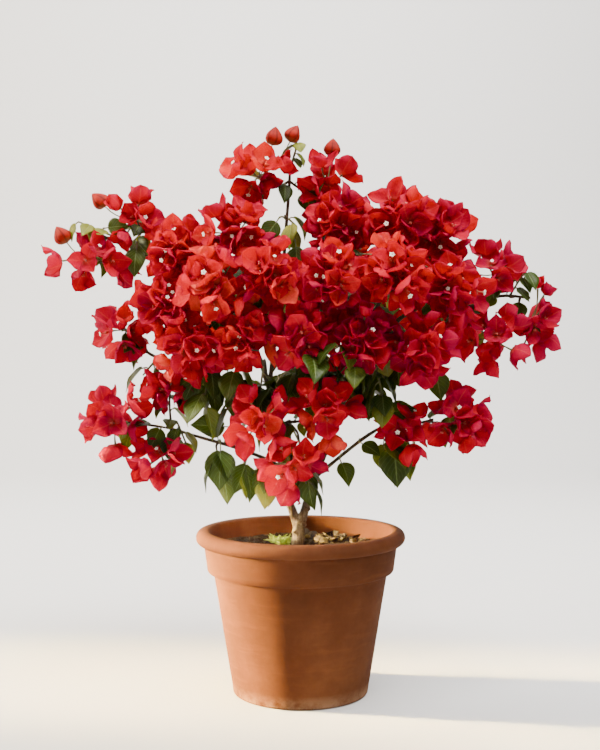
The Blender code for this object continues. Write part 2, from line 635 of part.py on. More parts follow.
def head_core(name):
    """A head's hub, its stalk and its closed buds."""
    middle, facing, reach = HEADS[name][:3]
    middle, facing = place(*middle), Vector(facing).normalized()
    core = hub_radius(reach)
    end = stalk_end(middle - facing * core, facing)
    stalk = rod(middle, end, STALK_RADIUS * MM, STALK_RADIUS * MM, 3)
    return [hub(middle, core), stalk, *[place_bud(middle, place(*spot)) for spot in BUDS.get(name, ())]]


def make_head(name, solids, home, material):
    middle, facing, reach, spread, count, _ = HEADS[name]
    draw = random.Random(f"{SEED} {name}")
    middle, facing = place(*middle), Vector(facing).normalized()
    for direction in cap_directions(facing, math.radians(spread), count, draw):
        for solid in place_bloom(name, middle, direction, place(*reach), draw):
            keep(name, solid)
            solids.append(solid)
    return fused(name, solids, material, home)


# ---- leafy stems ----
def leaf_tries(root, along, angle, size, draw):
    """Placings of one leaf round its stem: matrix, length and droop."""
    size *= draw.uniform(0.82, 1.08)
    droop = draw.uniform(0.2, 0.6)
    hang = draw.uniform(*LEAF_HANG)
    light = Vector((0, math.copysign(LEAF_TURN, root.y), 0))
    for attempt in range(TRIES):
        side = along.orthogonal().normalized()
        side.rotate(Matrix.Rotation(angle + 0.45 * attempt * (-1) ** attempt, 3, along))
        side = (side + light).normalized()
        heading = (side + 0.4 * along + Vector((0, 0, -hang))).normalized()
        across = side.cross(heading).normalized()
        outward = heading.cross(across)
        if outward.dot(side) < 0:
            across, outward = -across, -outward
        spot = root + (0.7 * side + 0.7 * along * (1 if along.z > 0 else 0.2)) * PETIOLE_SHARE * size
        turn = Matrix((heading, across, outward)).transposed().to_4x4()
        yield Matrix.Translation(spot) @ turn, size * (1 - 0.3 * attempt / TRIES), droop


def shoot_stem(name):
    foot, tip = SHOOTS[name][:2]
    return [rod(place(*foot), place(*tip), SHOOT_FOOT * MM, SHOOT_TIP * MM, 4)]


def make_shoot(name, solids, home, material):
    foot, tip, count, size, _ = SHOOTS[name]
    draw = random.Random(f"{SEED} {name}")
    foot, tip = place(*foot), place(*tip)
    along = (tip - foot).normalized()
    start = draw.uniform(0, 2 * math.pi)
    for i in range(count):
        base = foot.lerp(tip, 0.15 + 0.80 * i / max(1, count - 1))
        for matrix, length, droop in leaf_tries(base, along, start + i * GOLDEN, size * MM, draw):
            apex = Vector((LEAF_OUTLINE[-1] * length, 0, -LEAF_BOTTOM * MM))
            solid = fitted(name, leaf, matrix, base, STEM_DEPTH, apex, length, droop)
            if solid:
                keep(name, solid)
                solids.append(solid)
                break
    return fused(name, solids, material, home)


def main():
    for obj in list(bpy.data.objects):
        bpy.data.objects.remove(obj, do_unlink=True)
    home, cutters = collection("bougainvillea_bonsai"), collection("cutters")
    make_pot(home, cutters)
    make_soil(home, cutters)
    make_trunk(home)
    cores = {name: head_core(name) for name in HEADS}
    stems = {name: shoot_stem(name) for name in SHOOTS}
    for name, solids in [*cores.items(), *stems.items()]:
        for solid in solids:
            keep(name, solid)
    for name, solids in cores.items():
        make_head(name, solids, home, principled(name, (0.72, 0.03, 0.05), 0.6))
    for name, solids in stems.items():
        make_shoot(name, solids, home, principled(name, (0.10, 0.24, 0.05), 0.45))


main()
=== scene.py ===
"""Dress for the potted bougainvillea bonsai.

Metres, +Z up, +Y to the back, origin at the middle of the pot's flat base.
The tables are in millimetres and say the same as the part's source, so that every
bract, leaf and twig lands on the solid that it stands for.
"""
import math
import random

import bmesh
import bpy
from mathutils import Matrix, Vector, noise
from mathutils.kdtree import KDTree


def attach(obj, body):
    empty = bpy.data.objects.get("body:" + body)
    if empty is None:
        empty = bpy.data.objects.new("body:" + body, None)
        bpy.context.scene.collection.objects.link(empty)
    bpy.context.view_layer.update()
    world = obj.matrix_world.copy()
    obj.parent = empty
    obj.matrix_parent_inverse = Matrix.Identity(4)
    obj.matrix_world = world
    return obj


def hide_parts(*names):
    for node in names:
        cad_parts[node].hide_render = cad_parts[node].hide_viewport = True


MM = 0.001
SEED = 11

# ---- pot and soil (mm) ----
LIP_RADIUS, LIP_TOP, LIP_ROLL = 120.0, 185.4, 8.0
MOUTH_RADIUS = 104.0
COLLAR_TOP_RADIUS, COLLAR_FOOT_RADIUS, COLLAR_FOOT = 110.6, 107.0, 138.6
WALL_TOP_RADIUS, BASE_RADIUS = 100.0, 77.0
WALL, FLOOR = 9.0, 12.0
DRAIN_RADIUS, DRAIN_RING, DRAIN_COUNT = 6.0, 42.0, 3
SOIL_TOP, SOIL_RELIEF = 165.0, 3.0

# ---- wood (mm) ----
TWIG_START, TWIG_TIP = 2.1, 1.2
TWIG_END, STALK_REACH = 4.0, 3.0
HUB_SHARE = 0.25

# ---- blooms and leaves (mm) ----
BRACT = 28.5
BLOOM_SIZE, BLOOM_OUT, BLOOM_LEAN = (0.86, 1.06), (0.86, 1.14), 0.38        # shares
CUP = (28, 58)                  # degrees
BUD_LENGTH = 20.0
LEAF_OUTLINE = (0.60, 0.40, 0.37, 0.42, 0.32)
PETIOLE_SHARE = 0.24
LEAF_SIZE, LEAF_DROOP = (0.82, 1.08), (0.2, 0.6)
LEAF_HANG, LEAF_TURN = (0.9, 1.9), 0.75
TRIES = 14
GOLDEN = math.radians(137.508)
MATCH = 0.25 * MM               # how near a solid's corner must be to the tip that is looked for

# ---- where everything stands (mm) ----
LIMBS = {                       # knots (x, y, z, radius) of each limb, from its root to its tip
    "stem": ((-4, 0, 158, 7.6), (-3, 0, 172, 7.2), (-2, 0, 184, 7.0), (-3, 0, 196, 5.6)),
    "left": ((-2, 0, 184, 5.6), (-9, 0, 206, 5.0), (-17, 2, 228, 4.8), (-25, 4, 280, 4.3),
             (-37, 6, 350, 3.7), (-58, 6, 402, 3.1), (-92, 2, 438, 2.6), (-124, 0, 462, 2.1)),
    "right": ((-2, 0, 184, 5.6), (7, 0, 214, 5.0), (18, 0, 250, 4.7), (38, 0, 303, 4.2),
              (56, 0, 350, 3.7), (84, 0, 398, 3.1), (122, 0, 432, 2.6), (160, 0, 446, 2.1)),
    "leader": ((-36, 6, 346, 2.8), (-30, 12, 400, 2.6), (-22, 10, 460, 2.3), (-18, 4, 512, 2.0),
               (-14, 0, 562, 1.8), (-12, -2, 592, 1.5)),
    "arm_left": ((-110, 0, 452, 2.2), (-152, 2, 482, 2.1), (-184, 0, 504, 1.9),
                 (-212, -4, 514, 1.7), (-240, -4, 528, 1.5)),
    "mid_left": ((-52, 6, 390, 2.3), (-105, 2, 380, 2.1), (-155, -4, 380, 1.8),
                 (-182, -6, 392, 1.5)),
    "low_left": ((-21, 3, 255, 2.4), (-44, -4, 268, 2.2), (-75, -8, 280, 2.0),
                 (-112, -12, 291, 1.8), (-152, -18, 304, 1.5)),
    "low_right": ((17, 0, 245, 2.3), (32, -4, 258, 2.2), (86, -12, 300, 2.0), (124, -16, 306, 1.7),
                  (150, -18, 312, 1.5)),
    "arm_right": ((150, 0, 442, 2.2), (190, 0, 440, 2.0), (228, 0, 452, 1.8), (262, 0, 450, 1.5)),
    "front": ((-27, 4, 292, 2.4), (-20, -22, 306, 2.2), (-12, -48, 312, 2.0)),
    "front_left": ((-62, 6, 406, 2.4), (-78, -22, 424, 2.2), (-88, -42, 440, 1.9)),
    "front_right": ((60, 0, 358, 2.4), (72, -28, 400, 2.2), (82, -48, 436, 1.9)),
    "back_left": ((-40, 6, 360, 2.6), (-58, 36, 412, 2.3), (-70, 52, 446, 2.0)),
    "back_right": ((66, 0, 368, 2.6), (84, 34, 420, 2.3), (96, 50, 456, 2.0)),
    "top_right": ((96, 0, 410, 2.4), (104, -4, 455, 2.1), (106, -6, 490, 1.9)),
}
THICK_LIMBS = ("stem", "left", "right")

# Heads of bracts: middle (x, y, z), facing, reach of the blooms, spread (degrees), blooms, limb.
HEADS = {
    "head_top_left": ((-46, -14, 586), (-0.5, -0.4, 0.6), (21, 21, 21), 125, 6, "leader"),
    "head_top_right": ((30, 2, 580), (0.6, -0.4, 0.5), (20, 20, 20), 125, 5, "leader"),
    "head_arm_left": ((-186, -6, 538), (-0.3, -0.5, 0.8), (17, 17, 17), 120, 5, "arm_left"),
    "head_arm_tip": ((-234, -10, 490), (-0.2, -0.7, -0.5), (34, 16, 12), 130, 5, "arm_left"),
    "head_left_top_a": ((-134, -28, 500), (-0.6, -0.4, 0.6), (25, 25, 25), 105, 6, "left"),
    "head_left_top_b": ((-74, -44, 518), (0.1, -0.5, 0.8), (26, 26, 26), 105, 6, "front_left"),
    "head_left_side": ((-146, -32, 438), (-0.8, -0.6, 0.0), (25, 25, 25), 105, 6, "left"),
    "head_left_front": ((-92, -80, 458), (0.0, -1.0, 0.2), (26, 26, 26), 100, 6, "front_left"),
    "head_left_low_a": ((-120, -60, 392), (-0.4, -0.7, -0.5), (24, 24, 24), 105, 5, "front_left"),
    "head_left_low_b": ((-64, -72, 404), (0.1, -0.9, -0.4), (24, 24, 24), 105, 5, "front_left"),
    "head_notch": ((-30, -84, 468), (0.0, -1.0, 0.3), (24, 24, 24), 100, 6, "front_left"),
    "head_notch_low": ((2, -82, 408), (0.0, -0.9, -0.4), (24, 24, 24), 100, 5, "front_right"),
    "head_right_top_a": ((44, -32, 528), (-0.2, -0.5, 0.8), (25, 25, 25), 105, 6, "top_right"),
    "head_right_top_b": ((110, -38, 532), (0.1, -0.5, 0.8), (26, 26, 26), 105, 6, "top_right"),
    "head_right_top_c": ((154, -16, 518), (0.6, -0.4, 0.6), (25, 25, 25), 105, 6, "top_right"),
    "head_right_front_a": ((38, -88, 464), (-0.1, -1.0, 0.2), (26, 26, 26), 100, 6, "front_right"),
    "head_right_front_b": ((100, -92, 470), (0.2, -1.0, 0.2), (26, 26, 26), 100, 6, "front_right"),
    "head_right_side": ((162, -48, 455), (0.6, -0.8, 0.1), (25, 25, 25), 105, 6, "right"),
    "head_right_low_a": ((64, -84, 402), (0.0, -0.9, -0.4), (24, 24, 24), 105, 6, "front_right"),
    "head_right_low_b": ((127, -66, 392), (0.3, -0.8, -0.4), (24, 24, 24), 105, 6, "front_right"),
    "head_far_right_top": ((218, -10, 476), (0.3, -0.5, 0.8), (21, 21, 21), 115, 5, "arm_right"),
    "head_far_right_low": ((214, -14, 404), (0.5, -0.6, -0.5), (24, 24, 24), 115, 6, "arm_right"),
    "head_tip_right": ((262, -2, 416), (0.7, -0.4, -0.5), (16, 16, 16), 110, 4, "arm_right"),
    "head_mid_left": ((-198, -8, 412), (-0.6, -0.5, 0.4), (19, 19, 19), 130, 6, "mid_left"),
    "head_low_left_a": ((-206, -22, 310), (-0.7, -0.5, 0.1), (24, 24, 24), 135, 6, "low_left"),
    "head_low_left_b": ((-156, -26, 272), (-0.2, -0.5, -0.8), (18, 18, 18), 120, 4, "low_left"),
    "head_low_left_c": ((-146, -28, 346), (0.1, -0.4, 0.9), (12, 12, 12), 110, 4, "low_left"),
    "head_low_mid_a": ((-42, -80, 316), (-0.6, -0.7, 0.3), (23, 23, 23), 120, 6, "front"),
    "head_low_mid_b": ((26, -76, 324), (0.6, -0.7, 0.4), (23, 23, 23), 120, 6, "front"),
    "head_low_mid_c": ((-10, -84, 268), (0.0, -0.7, -0.7), (21, 21, 21), 120, 5, "front"),
    "head_low_right_a": ((118, -36, 302), (-0.2, -0.8, -0.2), (16, 16, 16), 110, 4, "low_right"),
    "head_low_right_b": ((176, -20, 312), (0.7, -0.5, 0.2), (25, 25, 25), 125, 7, "low_right"),
    "head_back_a": ((-122, 52, 484), (-0.6, 0.6, 0.5), (29, 29, 29), 110, 6, "back_left"),
    "head_back_b": ((-58, 72, 496), (0.0, 0.8, 0.6), (29, 29, 29), 110, 6, "back_left"),
    "head_back_c": ((-88, 78, 420), (-0.4, 0.9, -0.2), (29, 29, 29), 110, 6, "back_left"),
    "head_back_d": ((2, 92, 450), (0.0, 1.0, 0.0), (29, 29, 29), 110, 6, "back_left"),
    "head_back_e": ((62, 76, 504), (0.0, 0.8, 0.6), (29, 29, 29), 110, 6, "back_right"),
    "head_back_f": ((134, 54, 496), (0.6, 0.6, 0.5), (29, 29, 29), 110, 6, "back_right"),
    "head_back_g": ((100, 84, 428), (0.4, 0.9, -0.2), (29, 29, 29), 110, 6, "back_right"),
    "head_back_h": ((176, 42, 430), (0.8, 0.5, -0.1), (27, 27, 27), 110, 6, "right"),
}

# Closed buds that a head also carries: (x, y, z) of the bud's middle.
BUDS = {
    "head_top_left": ((-30, -16, 630), (-8, -10, 634)),
    "head_top_right": ((36, -2, 620),),
    "head_arm_left": ((-228, -6, 560),),
    "head_arm_tip": ((-270, -8, 520),),
    "head_tip_right": ((270, -2, 470), (283, -4, 461), (278, -8, 442), (291, 0, 430)),
}

# Leafy stems: foot (x, y, z), tip (x, y, z), leaves, leaf length, limb.
SHOOTS = {
    "shoot_under_left_a": ((-100, -34, 372), (-108, -44, 330), 5, 40, "mid_left"),
    "shoot_under_left_b": ((-70, -34, 384), (-74, -50, 326), 6, 42, "left"),
    "shoot_under_left_c": ((-42, -22, 372), (-48, -36, 318), 6, 42, "left"),
    "shoot_low_left_a": ((-95, -13, 277), (-92, -18, 258), 3, 44, "low_left"),
    "shoot_low_left_b": ((-63, -11, 266), (-68, -16, 248), 3, 36, "low_left"),
    "shoot_low_left_c": ((-138, -18, 306), (-128, -30, 286), 4, 34, "low_left"),
    "shoot_trunk_left": ((-34, -14, 262), (-42, -26, 240), 3, 38, "low_left"),
    "shoot_trunk_front": ((-2, -44, 292), (6, -56, 244), 4, 40, "front"),
    "shoot_low_right_a": ((92, -17, 292), (108, -21, 276), 5, 42, "low_right"),
    "shoot_under_right": ((84, -34, 376), (92, -46, 330), 6, 42, "right"),
    "shoot_under_mid": ((36, -14, 368), (24, -24, 334), 6, 38, "right"),
    "shoot_mid_left": ((-166, -11, 377), (-178, -16, 362), 3, 36, "mid_left"),
    "shoot_top": ((-10, -4, 602), (-4, -8, 622), 4, 22, "leader"),
    "shoot_leader": ((-14, -4, 540), (-4, -8, 530), 3, 34, "leader"),
    "shoot_arm_left": ((-214, -10, 520), (-252, -8, 536), 5, 23, "arm_left"),
    "shoot_arm_right": ((240, -6, 456), (252, -8, 476), 4, 27, "arm_right"),
    "shoot_back": ((20, 48, 380), (26, 78, 338), 7, 42, "right"),
}


def place(x, y, z):
    """Point in metres from millimetres."""
    return Vector((x, y, z)) * MM


def seeded(words):
    """Random draws of their own for whatever the words name."""
    return random.Random(f"{SEED} {words}")


def mesh_of(bm, name):
    """Plain mesh from a bmesh, which is freed."""
    mesh = bpy.data.meshes.new(name)
    bm.to_mesh(mesh)
    bm.free()
    return mesh


def in_scene(name, data):
    obj = bpy.data.objects.new(name, data)
    bpy.context.scene.collection.objects.link(obj)
    return obj


def smooth(mesh):
    mesh.polygons.foreach_set("use_smooth", [True] * len(mesh.polygons))


def axes(x, y, z):
    """Turn that takes a blank's own axes to the three given."""
    return Matrix((x, y, z)).transposed().to_4x4()


# ---- nodes ----
def add(tree, kind, inputs=None, **settings):
    """Add a node; inputs are numbers or the sockets that feed them."""
    made = tree.nodes.new(kind)
    for name, value in settings.items():
        setattr(made, name, value)
    for name, value in (inputs or {}).items():
        if isinstance(value, bpy.types.NodeSocket):
            tree.links.new(value, made.inputs[name])
        else:
            made.inputs[name].default_value = value
    return made


def out(tree, kind, inputs=None, **settings):
    """Add a node and give its first output."""
    return add(tree, kind, inputs, **settings).outputs[0]


def maths(tree, operation, a, b=0.0, clamp=False):
    return out(tree, "ShaderNodeMath", {0: a, 1: b}, operation=operation, use_clamp=clamp)


def times(tree, a, b):
    return maths(tree, "MULTIPLY", a, b)


def plus(tree, a, b):
    return maths(tree, "ADD", a, b)


def less(tree, a, b):
    return maths(tree, "SUBTRACT", a, b)


def weighed(tree, *terms):
    """Sum of terms (value, weight)."""
    total = times(tree, *terms[0])
    for value, weight in terms[1:]:
        total = plus(tree, total, times(tree, value, weight))
    return total


def lay_over(tree, body, share, colour):
    """Mix a colour into the body; share is a number or a mask."""
    mix = add(tree, "ShaderNodeMix", {0: share, 6: body, 7: (*colour, 1.0)}, data_type="RGBA")
    return mix.outputs[2]


def glazed(tree, body, *glazes):
    """Lay colours over the body one by one; glazes are (mask, strength, colour)."""
    for mask, strength, colour in glazes:
        body = lay_over(tree, body, times(tree, mask, strength), colour)
    return body


def ramp(tree, value, *stops):
    """Colour ramp; stops are (position, colour)."""
    made = add(tree, "ShaderNodeValToRGB", {0: value})
    marks = made.color_ramp.elements
    while len(marks) < len(stops):
        marks.new(0.5)
    for mark, (position, colour) in zip(marks, sorted(stops, key=lambda stop: stop[0])):
        mark.position = position
        mark.color = (*colour, 1.0)
    return made.outputs[0]


def mask_of(tree, value, black, white):
    """0 where the value is at black, 1 where it is at white, either way round."""
    return ramp(tree, value, (black, (0, 0, 0)), (white, (1, 1, 1)))


def speckle(tree, coords, scale, detail=4.0, roughness=0.6, distortion=0.0):
    return out(tree, "ShaderNodeTexNoise", {"Vector": coords, "Scale": scale, "Detail": detail,
                                            "Roughness": roughness, "Distortion": distortion})


def cells(tree, coords, scale, feature="F1"):
    """Distance to the middle of the nearest cell, or to the nearest edge between cells."""
    made = add(tree, "ShaderNodeTexVoronoi", {"Vector": coords, "Scale": scale}, feature=feature)
    return made.outputs["Distance"]


def object_coords(tree, stretch=(1, 1, 1)):
    """Places on the finished piece, in metres, stretched along each axis."""
    coords = add(tree, "ShaderNodeTexCoord").outputs["Object"]
    return out(tree, "ShaderNodeMapping", {"Vector": coords, "Scale": stretch})


def tint_of(tree):
    """The tint (0 to 1) that was given to each bract, leaf or scrap."""
    return add(tree, "ShaderNodeAttribute", attribute_name="tint").outputs["Fac"]


def strayed(tree, value, mottle, reach):
    """The value, moved by the mottle by up to half the reach to either side."""
    return maths(tree, "ADD", value, times(tree, less(tree, mottle, 0.5), reach), clamp=True)


def bump(tree, height, strength, distance):
    return out(tree, "ShaderNodeBump",
               {"Height": height, "Strength": strength, "Distance": distance})


def new_material(name, roughness, gloss=0.5):
    """A material, its tree and its Principled shader."""
    material = bpy.data.materials.new(name)
    material.use_nodes = True
    tree = material.node_tree
    shader = tree.nodes["Principled BSDF"]
    shader.inputs["Roughness"].default_value = roughness
    shader.inputs["Specular IOR Level"].default_value = gloss
    return material, tree, shader


def coat(tree, shader, colour, normal=None):
    """Give the shader its colour and its relief."""
    tree.links.new(colour, shader.inputs["Base Color"])
    if normal is not None:
        tree.links.new(normal, shader.inputs["Normal"])


def let_light_through(tree, shader, colour, normal, share):
    """Mix a translucent shader in, so that a thin blade glows with the light behind it."""
    glow = out(tree, "ShaderNodeBsdfTranslucent", {"Color": colour, "Normal": normal})
    mix = out(tree, "ShaderNodeMixShader", {0: share, 1: shader.outputs[0], 2: glow})
    tree.links.new(mix, tree.nodes["Material Output"].inputs["Surface"])


# ---- materials ----
# Colours by the hue or mottle of each finish: (position, colour).
BRACT_COLOURS = ((0.0, (0.46, 0.0, 0.062)), (0.35, (0.64, 0.002, 0.046)),
                 (0.7, (0.78, 0.012, 0.028)), (1.0, (0.92, 0.11, 0.06)))
BUD_COLOURS = ((0.3, (0.20, 0.004, 0.003)), (0.7, (0.36, 0.016, 0.005)))
LEAF_COLOURS = ((0.0, (0.012, 0.024, 0.003)), (0.45, (0.036, 0.062, 0.006)),
                (0.8, (0.15, 0.175, 0.014)), (1.0, (0.38, 0.37, 0.05)))
FLOWER_COLOURS = ((0.0, (0.16, 0.20, 0.05)), (0.25, (0.46, 0.03, 0.03)),      # foot to star
                  (0.62, (0.60, 0.16, 0.10)), (0.74, (0.90, 0.84, 0.70)))
STALK_COLOURS = ((0.3, (0.085, 0.115, 0.03)), (0.7, (0.20, 0.15, 0.06)))
BARK_COLOURS = ((0.25, (0.035, 0.020, 0.011)), (0.5, (0.094, 0.060, 0.034)),
                (0.75, (0.215, 0.155, 0.092)))
CLAY_COLOURS = ((0.28, (0.056, 0.017, 0.006)), (0.5, (0.092, 0.031, 0.012)),
                (0.72, (0.138, 0.052, 0.020)))
# the weed's yellow-green is its own, made brighter as painted sunlight
WEED_COLOURS_WITH_SUN = ((0.3, (0.26, 0.36, 0.04)), (0.7, (0.46, 0.54, 0.10)))
SOIL_COLOURS = ((0.3, (0.006, 0.004, 0.002)), (0.55, (0.022, 0.013, 0.007)),
                (0.8, (0.085, 0.052, 0.028)))
LITTER_COLOURS = ((0.0, (0.014, 0.008, 0.004)), (0.5, (0.050, 0.032, 0.012)),
                  (0.8, (0.135, 0.095, 0.036)), (1.0, (0.26, 0.18, 0.075)))

SHADED_WOOD_HEIGHTS = (0.21, 0.27)       # heights (m) between which the bark turns darker upwards: painted shade of the wood in and under the crown
LIME_TOP = 0.016                # height (m) up to which lime blooms on the pot's foot


def blade_uv(tree):
    """The two values of the blade map, which every blank has."""
    split = add(tree, "ShaderNodeSeparateXYZ", {0: out(tree, "ShaderNodeUVMap", uv_map="blade")})
    return split.outputs[0], split.outputs[1]


def off_middle(tree, share):
    """0 at the middle of a span from 0 to 1, and 1 at either end."""
    return maths(tree, "ABSOLUTE", less(tree, times(tree, share, 2.0), 1.0))


def blade_coords(tree):
    """Along (0 at the stalk, 1 at the tip) and distance from the midrib (0 to 1) of a blade."""
    along, across = blade_uv(tree)
    return along, off_middle(tree, across)


def side_veins(tree, along, off, count, slant):
    """Ridges that leave the midrib at a slant: 1 on a vein, 0 between."""
    phase = plus(tree, along, times(tree, off, -slant))
    wave = maths(tree, "SINE", times(tree, phase, 2 * math.pi * count))
    return maths(tree, "POWER", maths(tree, "MAXIMUM", wave, 0.0), 6.0)


def make_bract_material():
    """Papery bract: crimson to scarlet, with a fine net of veins, a dark rim and a pale claw."""
    material, tree, shader = new_material("bract_paper", 0.5, 0.08)
    coords = object_coords(tree)
    along, off = blade_coords(tree)
    hue = strayed(tree, tint_of(tree), speckle(tree, coords, 90.0, 3.0), 0.7)
    net = mask_of(tree, cells(tree, coords, 420.0, "DISTANCE_TO_EDGE"), 0.0, 0.12)
    veins = side_veins(tree, along, off, 6.0, 0.5)
    body = glazed(
        tree, ramp(tree, hue, *BRACT_COLOURS),
        (veins, 0.18, (0.80, 0.06, 0.05)),
        (mask_of(tree, off, 0.10, 0.0), 0.35, (0.84, 0.14, 0.09)),              # midrib
        (less(tree, 1.0, net), 0.18, (0.30, 0.0, 0.02)),
        (maths(tree, "POWER", off, 7.0), 0.6, (0.26, 0.0, 0.06)),               # rim
        (mask_of(tree, along, 0.22, 0.0), 0.4, (0.62, 0.16, 0.05)))             # claw
    relief = weighed(tree, (veins, 0.7), (net, 0.35), (speckle(tree, coords, 160.0, 4.0), 1.6))
    normal = bump(tree, relief, 0.6, 0.0005)
    coat(tree, shader, body, normal)
    let_light_through(tree, shader, lay_over(tree, body, 0.4, (1.0, 0.06, 0.04)), normal, 0.5)
    return material


def make_bud_material():
    """Shut bud: brown-red, with three dark keels, dark seams between them and a green foot."""
    material, tree, shader = new_material("bud_skin", 0.6, 0.1)
    along, around = blade_uv(tree)
    mottle = speckle(tree, object_coords(tree), 140.0)
    third = off_middle(tree, maths(tree, "FRACT", times(tree, around, 3.0)))
    ribs = plus(tree, mask_of(tree, third, 0.84, 1.0), mask_of(tree, third, 0.20, 0.0))
    body = glazed(
        tree, ramp(tree, mottle, *BUD_COLOURS),
        (ribs, 0.75, (0.055, 0.006, 0.004)),
        (mask_of(tree, along, 0.22, 0.0), 0.6, (0.20, 0.14, 0.03)))             # foot
    normal = bump(tree, plus(tree, mottle, ribs), 0.5, 0.0004)
    coat(tree, shader, body, normal)
    let_light_through(tree, shader, body, normal, 0.12)
    return material


def make_leaf_material():
    """Leaf: dark green to yellow-green, with pale sunken veins."""
    material, tree, shader = new_material("leaf_blade", 0.36, 0.2)
    coords = object_coords(tree)
    along, off = blade_coords(tree)
    hue = strayed(tree, tint_of(tree), speckle(tree, coords, 70.0), 0.5)
    veins = side_veins(tree, along, off, 7.0, 0.42)
    rib = mask_of(tree, off, 0.075, 0.0)
    body = glazed(
        tree, ramp(tree, hue, *LEAF_COLOURS),
        (veins, 0.35, (0.16, 0.26, 0.06)),
        (rib, 0.7, (0.30, 0.40, 0.12)))
    relief = less(tree, speckle(tree, coords, 260.0, 3.0), plus(tree, veins, rib))
    normal = bump(tree, relief, 0.5, 0.0005)
    coat(tree, shader, body, normal)
    let_light_through(tree, shader, lay_over(tree, body, 0.6, (0.50, 0.54, 0.03)), normal, 0.34)
    return material


def make_flower_material():
    """Cream star on a tube that is green at its foot and rosy above."""
    material, tree, shader = new_material("tube_flower", 0.5)
    along, _ = blade_uv(tree)
    eye = mask_of(tree, along, 0.93, 0.97)
    coat(tree, shader, lay_over(tree, ramp(tree, along, *FLOWER_COLOURS), eye, (0.20, 0.15, 0.03)))
    return material


def make_stalk_material():
    """Soft young stalk, green to brown."""
    material, tree, shader = new_material("green_stalk", 0.55)
    mottle = speckle(tree, object_coords(tree), 110.0)
    coat(tree, shader, ramp(tree, mottle, *STALK_COLOURS), bump(tree, mottle, 0.4, 0.0003))
    return material


def make_bark_material():
    """Grey-brown bark with ridges that run up the stem, pale where the skin has flaked, darker up
    in the crown as painted shade.
    """
    material, tree, shader = new_material("bark", 0.82, 0.2)
    coords = object_coords(tree)
    height = add(tree, "ShaderNodeSeparateXYZ", {0: coords}).outputs[2]
    ridges = speckle(tree, object_coords(tree, (1.0, 1.0, 0.22)), 520.0, 5.0, 0.65, 0.4)
    patches = speckle(tree, coords, 85.0, 4.0)
    pores = cells(tree, object_coords(tree, (1.0, 1.0, 2.2)), 330.0)
    body = glazed(
        tree, ramp(tree, ridges, *BARK_COLOURS),
        (mask_of(tree, patches, 0.5, 0.72), 0.55, (0.225, 0.182, 0.122)),
        (mask_of(tree, pores, 0.16, 0.08), 0.6, (0.035, 0.022, 0.015)),
        # painted shade: darker bark above these heights, in and under the crown
        (mask_of(tree, height, *SHADED_WOOD_HEIGHTS), 0.65, (0.040, 0.026, 0.014)))
    coat(tree, shader, body, bump(tree, weighed(tree, (ridges, 1.0), (patches, 0.5)), 0.8, 0.0011))
    return material


def make_terracotta_material():
    """Unglazed clay: warm and mottled, with turning marks, pits, scuffs and lime at the foot."""
    material, tree, shader = new_material("terracotta", 0.9, 0.07)
    coords = object_coords(tree)
    height = add(tree, "ShaderNodeSeparateXYZ", {0: coords}).outputs[2]
    clouds = speckle(tree, coords, 9.0, 5.0, 0.62)
    fine = speckle(tree, coords, 130.0, 6.0, 0.7)
    bands = speckle(tree, object_coords(tree, (0.15, 0.15, 1.0)), 150.0, 3.0, 0.5)
    lime = times(tree, mask_of(tree, height, LIME_TOP, 0.0),
                 mask_of(tree, speckle(tree, coords, 36.0, 6.0, 0.7), 0.36, 0.6))
    scuffs = mask_of(tree, speckle(tree, coords, 60.0, 8.0, 0.8), 0.68, 0.74)
    pits = mask_of(tree, cells(tree, coords, 240.0), 0.05, 0.16)
    body = glazed(
        tree, ramp(tree, clouds, *CLAY_COLOURS),
        (fine, 0.45, (0.054, 0.014, 0.005)),
        (mask_of(tree, bands, 0.55, 0.85), 0.06, (0.48, 0.17, 0.05)),
        (lime, 0.45, (0.46, 0.27, 0.15)),
        (scuffs, 0.30, (0.50, 0.26, 0.12)),
        (less(tree, 1.0, pits), 0.45, (0.10, 0.028, 0.010)))
    relief = weighed(tree, (fine, 1.0), (bands, 0.8), (pits, 0.5))
    coat(tree, shader, body, bump(tree, relief, 0.35, 0.0008))
    return material


def make_weed_material():
    """Thin yellow-green leaves of the weed: pale of their own, and made brighter still as painted
    sunlight.
    """
    material, tree, shader = new_material("weed_blade", 0.5)
    mottle = speckle(tree, object_coords(tree), 160.0)
    body = ramp(tree, mottle, *WEED_COLOURS_WITH_SUN)
    coat(tree, shader, body)
    let_light_through(tree, shader, body, bump(tree, mottle, 0.4, 0.0003), 0.4)
    return material


def make_soil_material():
    """Dark lumpy soil with dry, paler patches."""
    material, tree, shader = new_material("potting_soil", 0.95, 0.1)
    coords = object_coords(tree)
    lumps = speckle(tree, coords, 190.0, 7.0, 0.75)
    dry = mask_of(tree, speckle(tree, coords, 28.0, 4.0), 0.5, 0.75)
    body = glazed(tree, ramp(tree, lumps, *SOIL_COLOURS), (dry, 0.5, (0.10, 0.075, 0.035)))
    coat(tree, shader, body, bump(tree, lumps, 1.0, 0.002))
    return material


def make_litter_material():
    """Dry leaf scraps and chips, straw to brown by each scrap's tint."""
    material, tree, shader = new_material("dry_scraps", 0.8, 0.15)
    mottle = speckle(tree, object_coords(tree), 300.0)
    hue = strayed(tree, tint_of(tree), mottle, 0.5)
    coat(tree, shader, ramp(tree, hue, *LITTER_COLOURS), bump(tree, mottle, 0.6, 0.0006))
    return material


# ---- geometry nodes ----
def new_tree(name, *inputs):
    """Geometry tree with its own group input and output; inputs are (name, socket type, value)."""
    tree = bpy.data.node_groups.new(name, "GeometryNodeTree")
    tree.interface.new_socket("Geometry", in_out="INPUT", socket_type="NodeSocketGeometry")
    for label, kind, value in (*inputs, ("Material", "NodeSocketMaterial", None)):
        socket = tree.interface.new_socket(label, in_out="INPUT", socket_type=kind)
        if value is not None:
            socket.default_value = value
    tree.interface.new_socket("Geometry", in_out="OUTPUT", socket_type="NodeSocketGeometry")
    return tree, add(tree, "NodeGroupInput").outputs


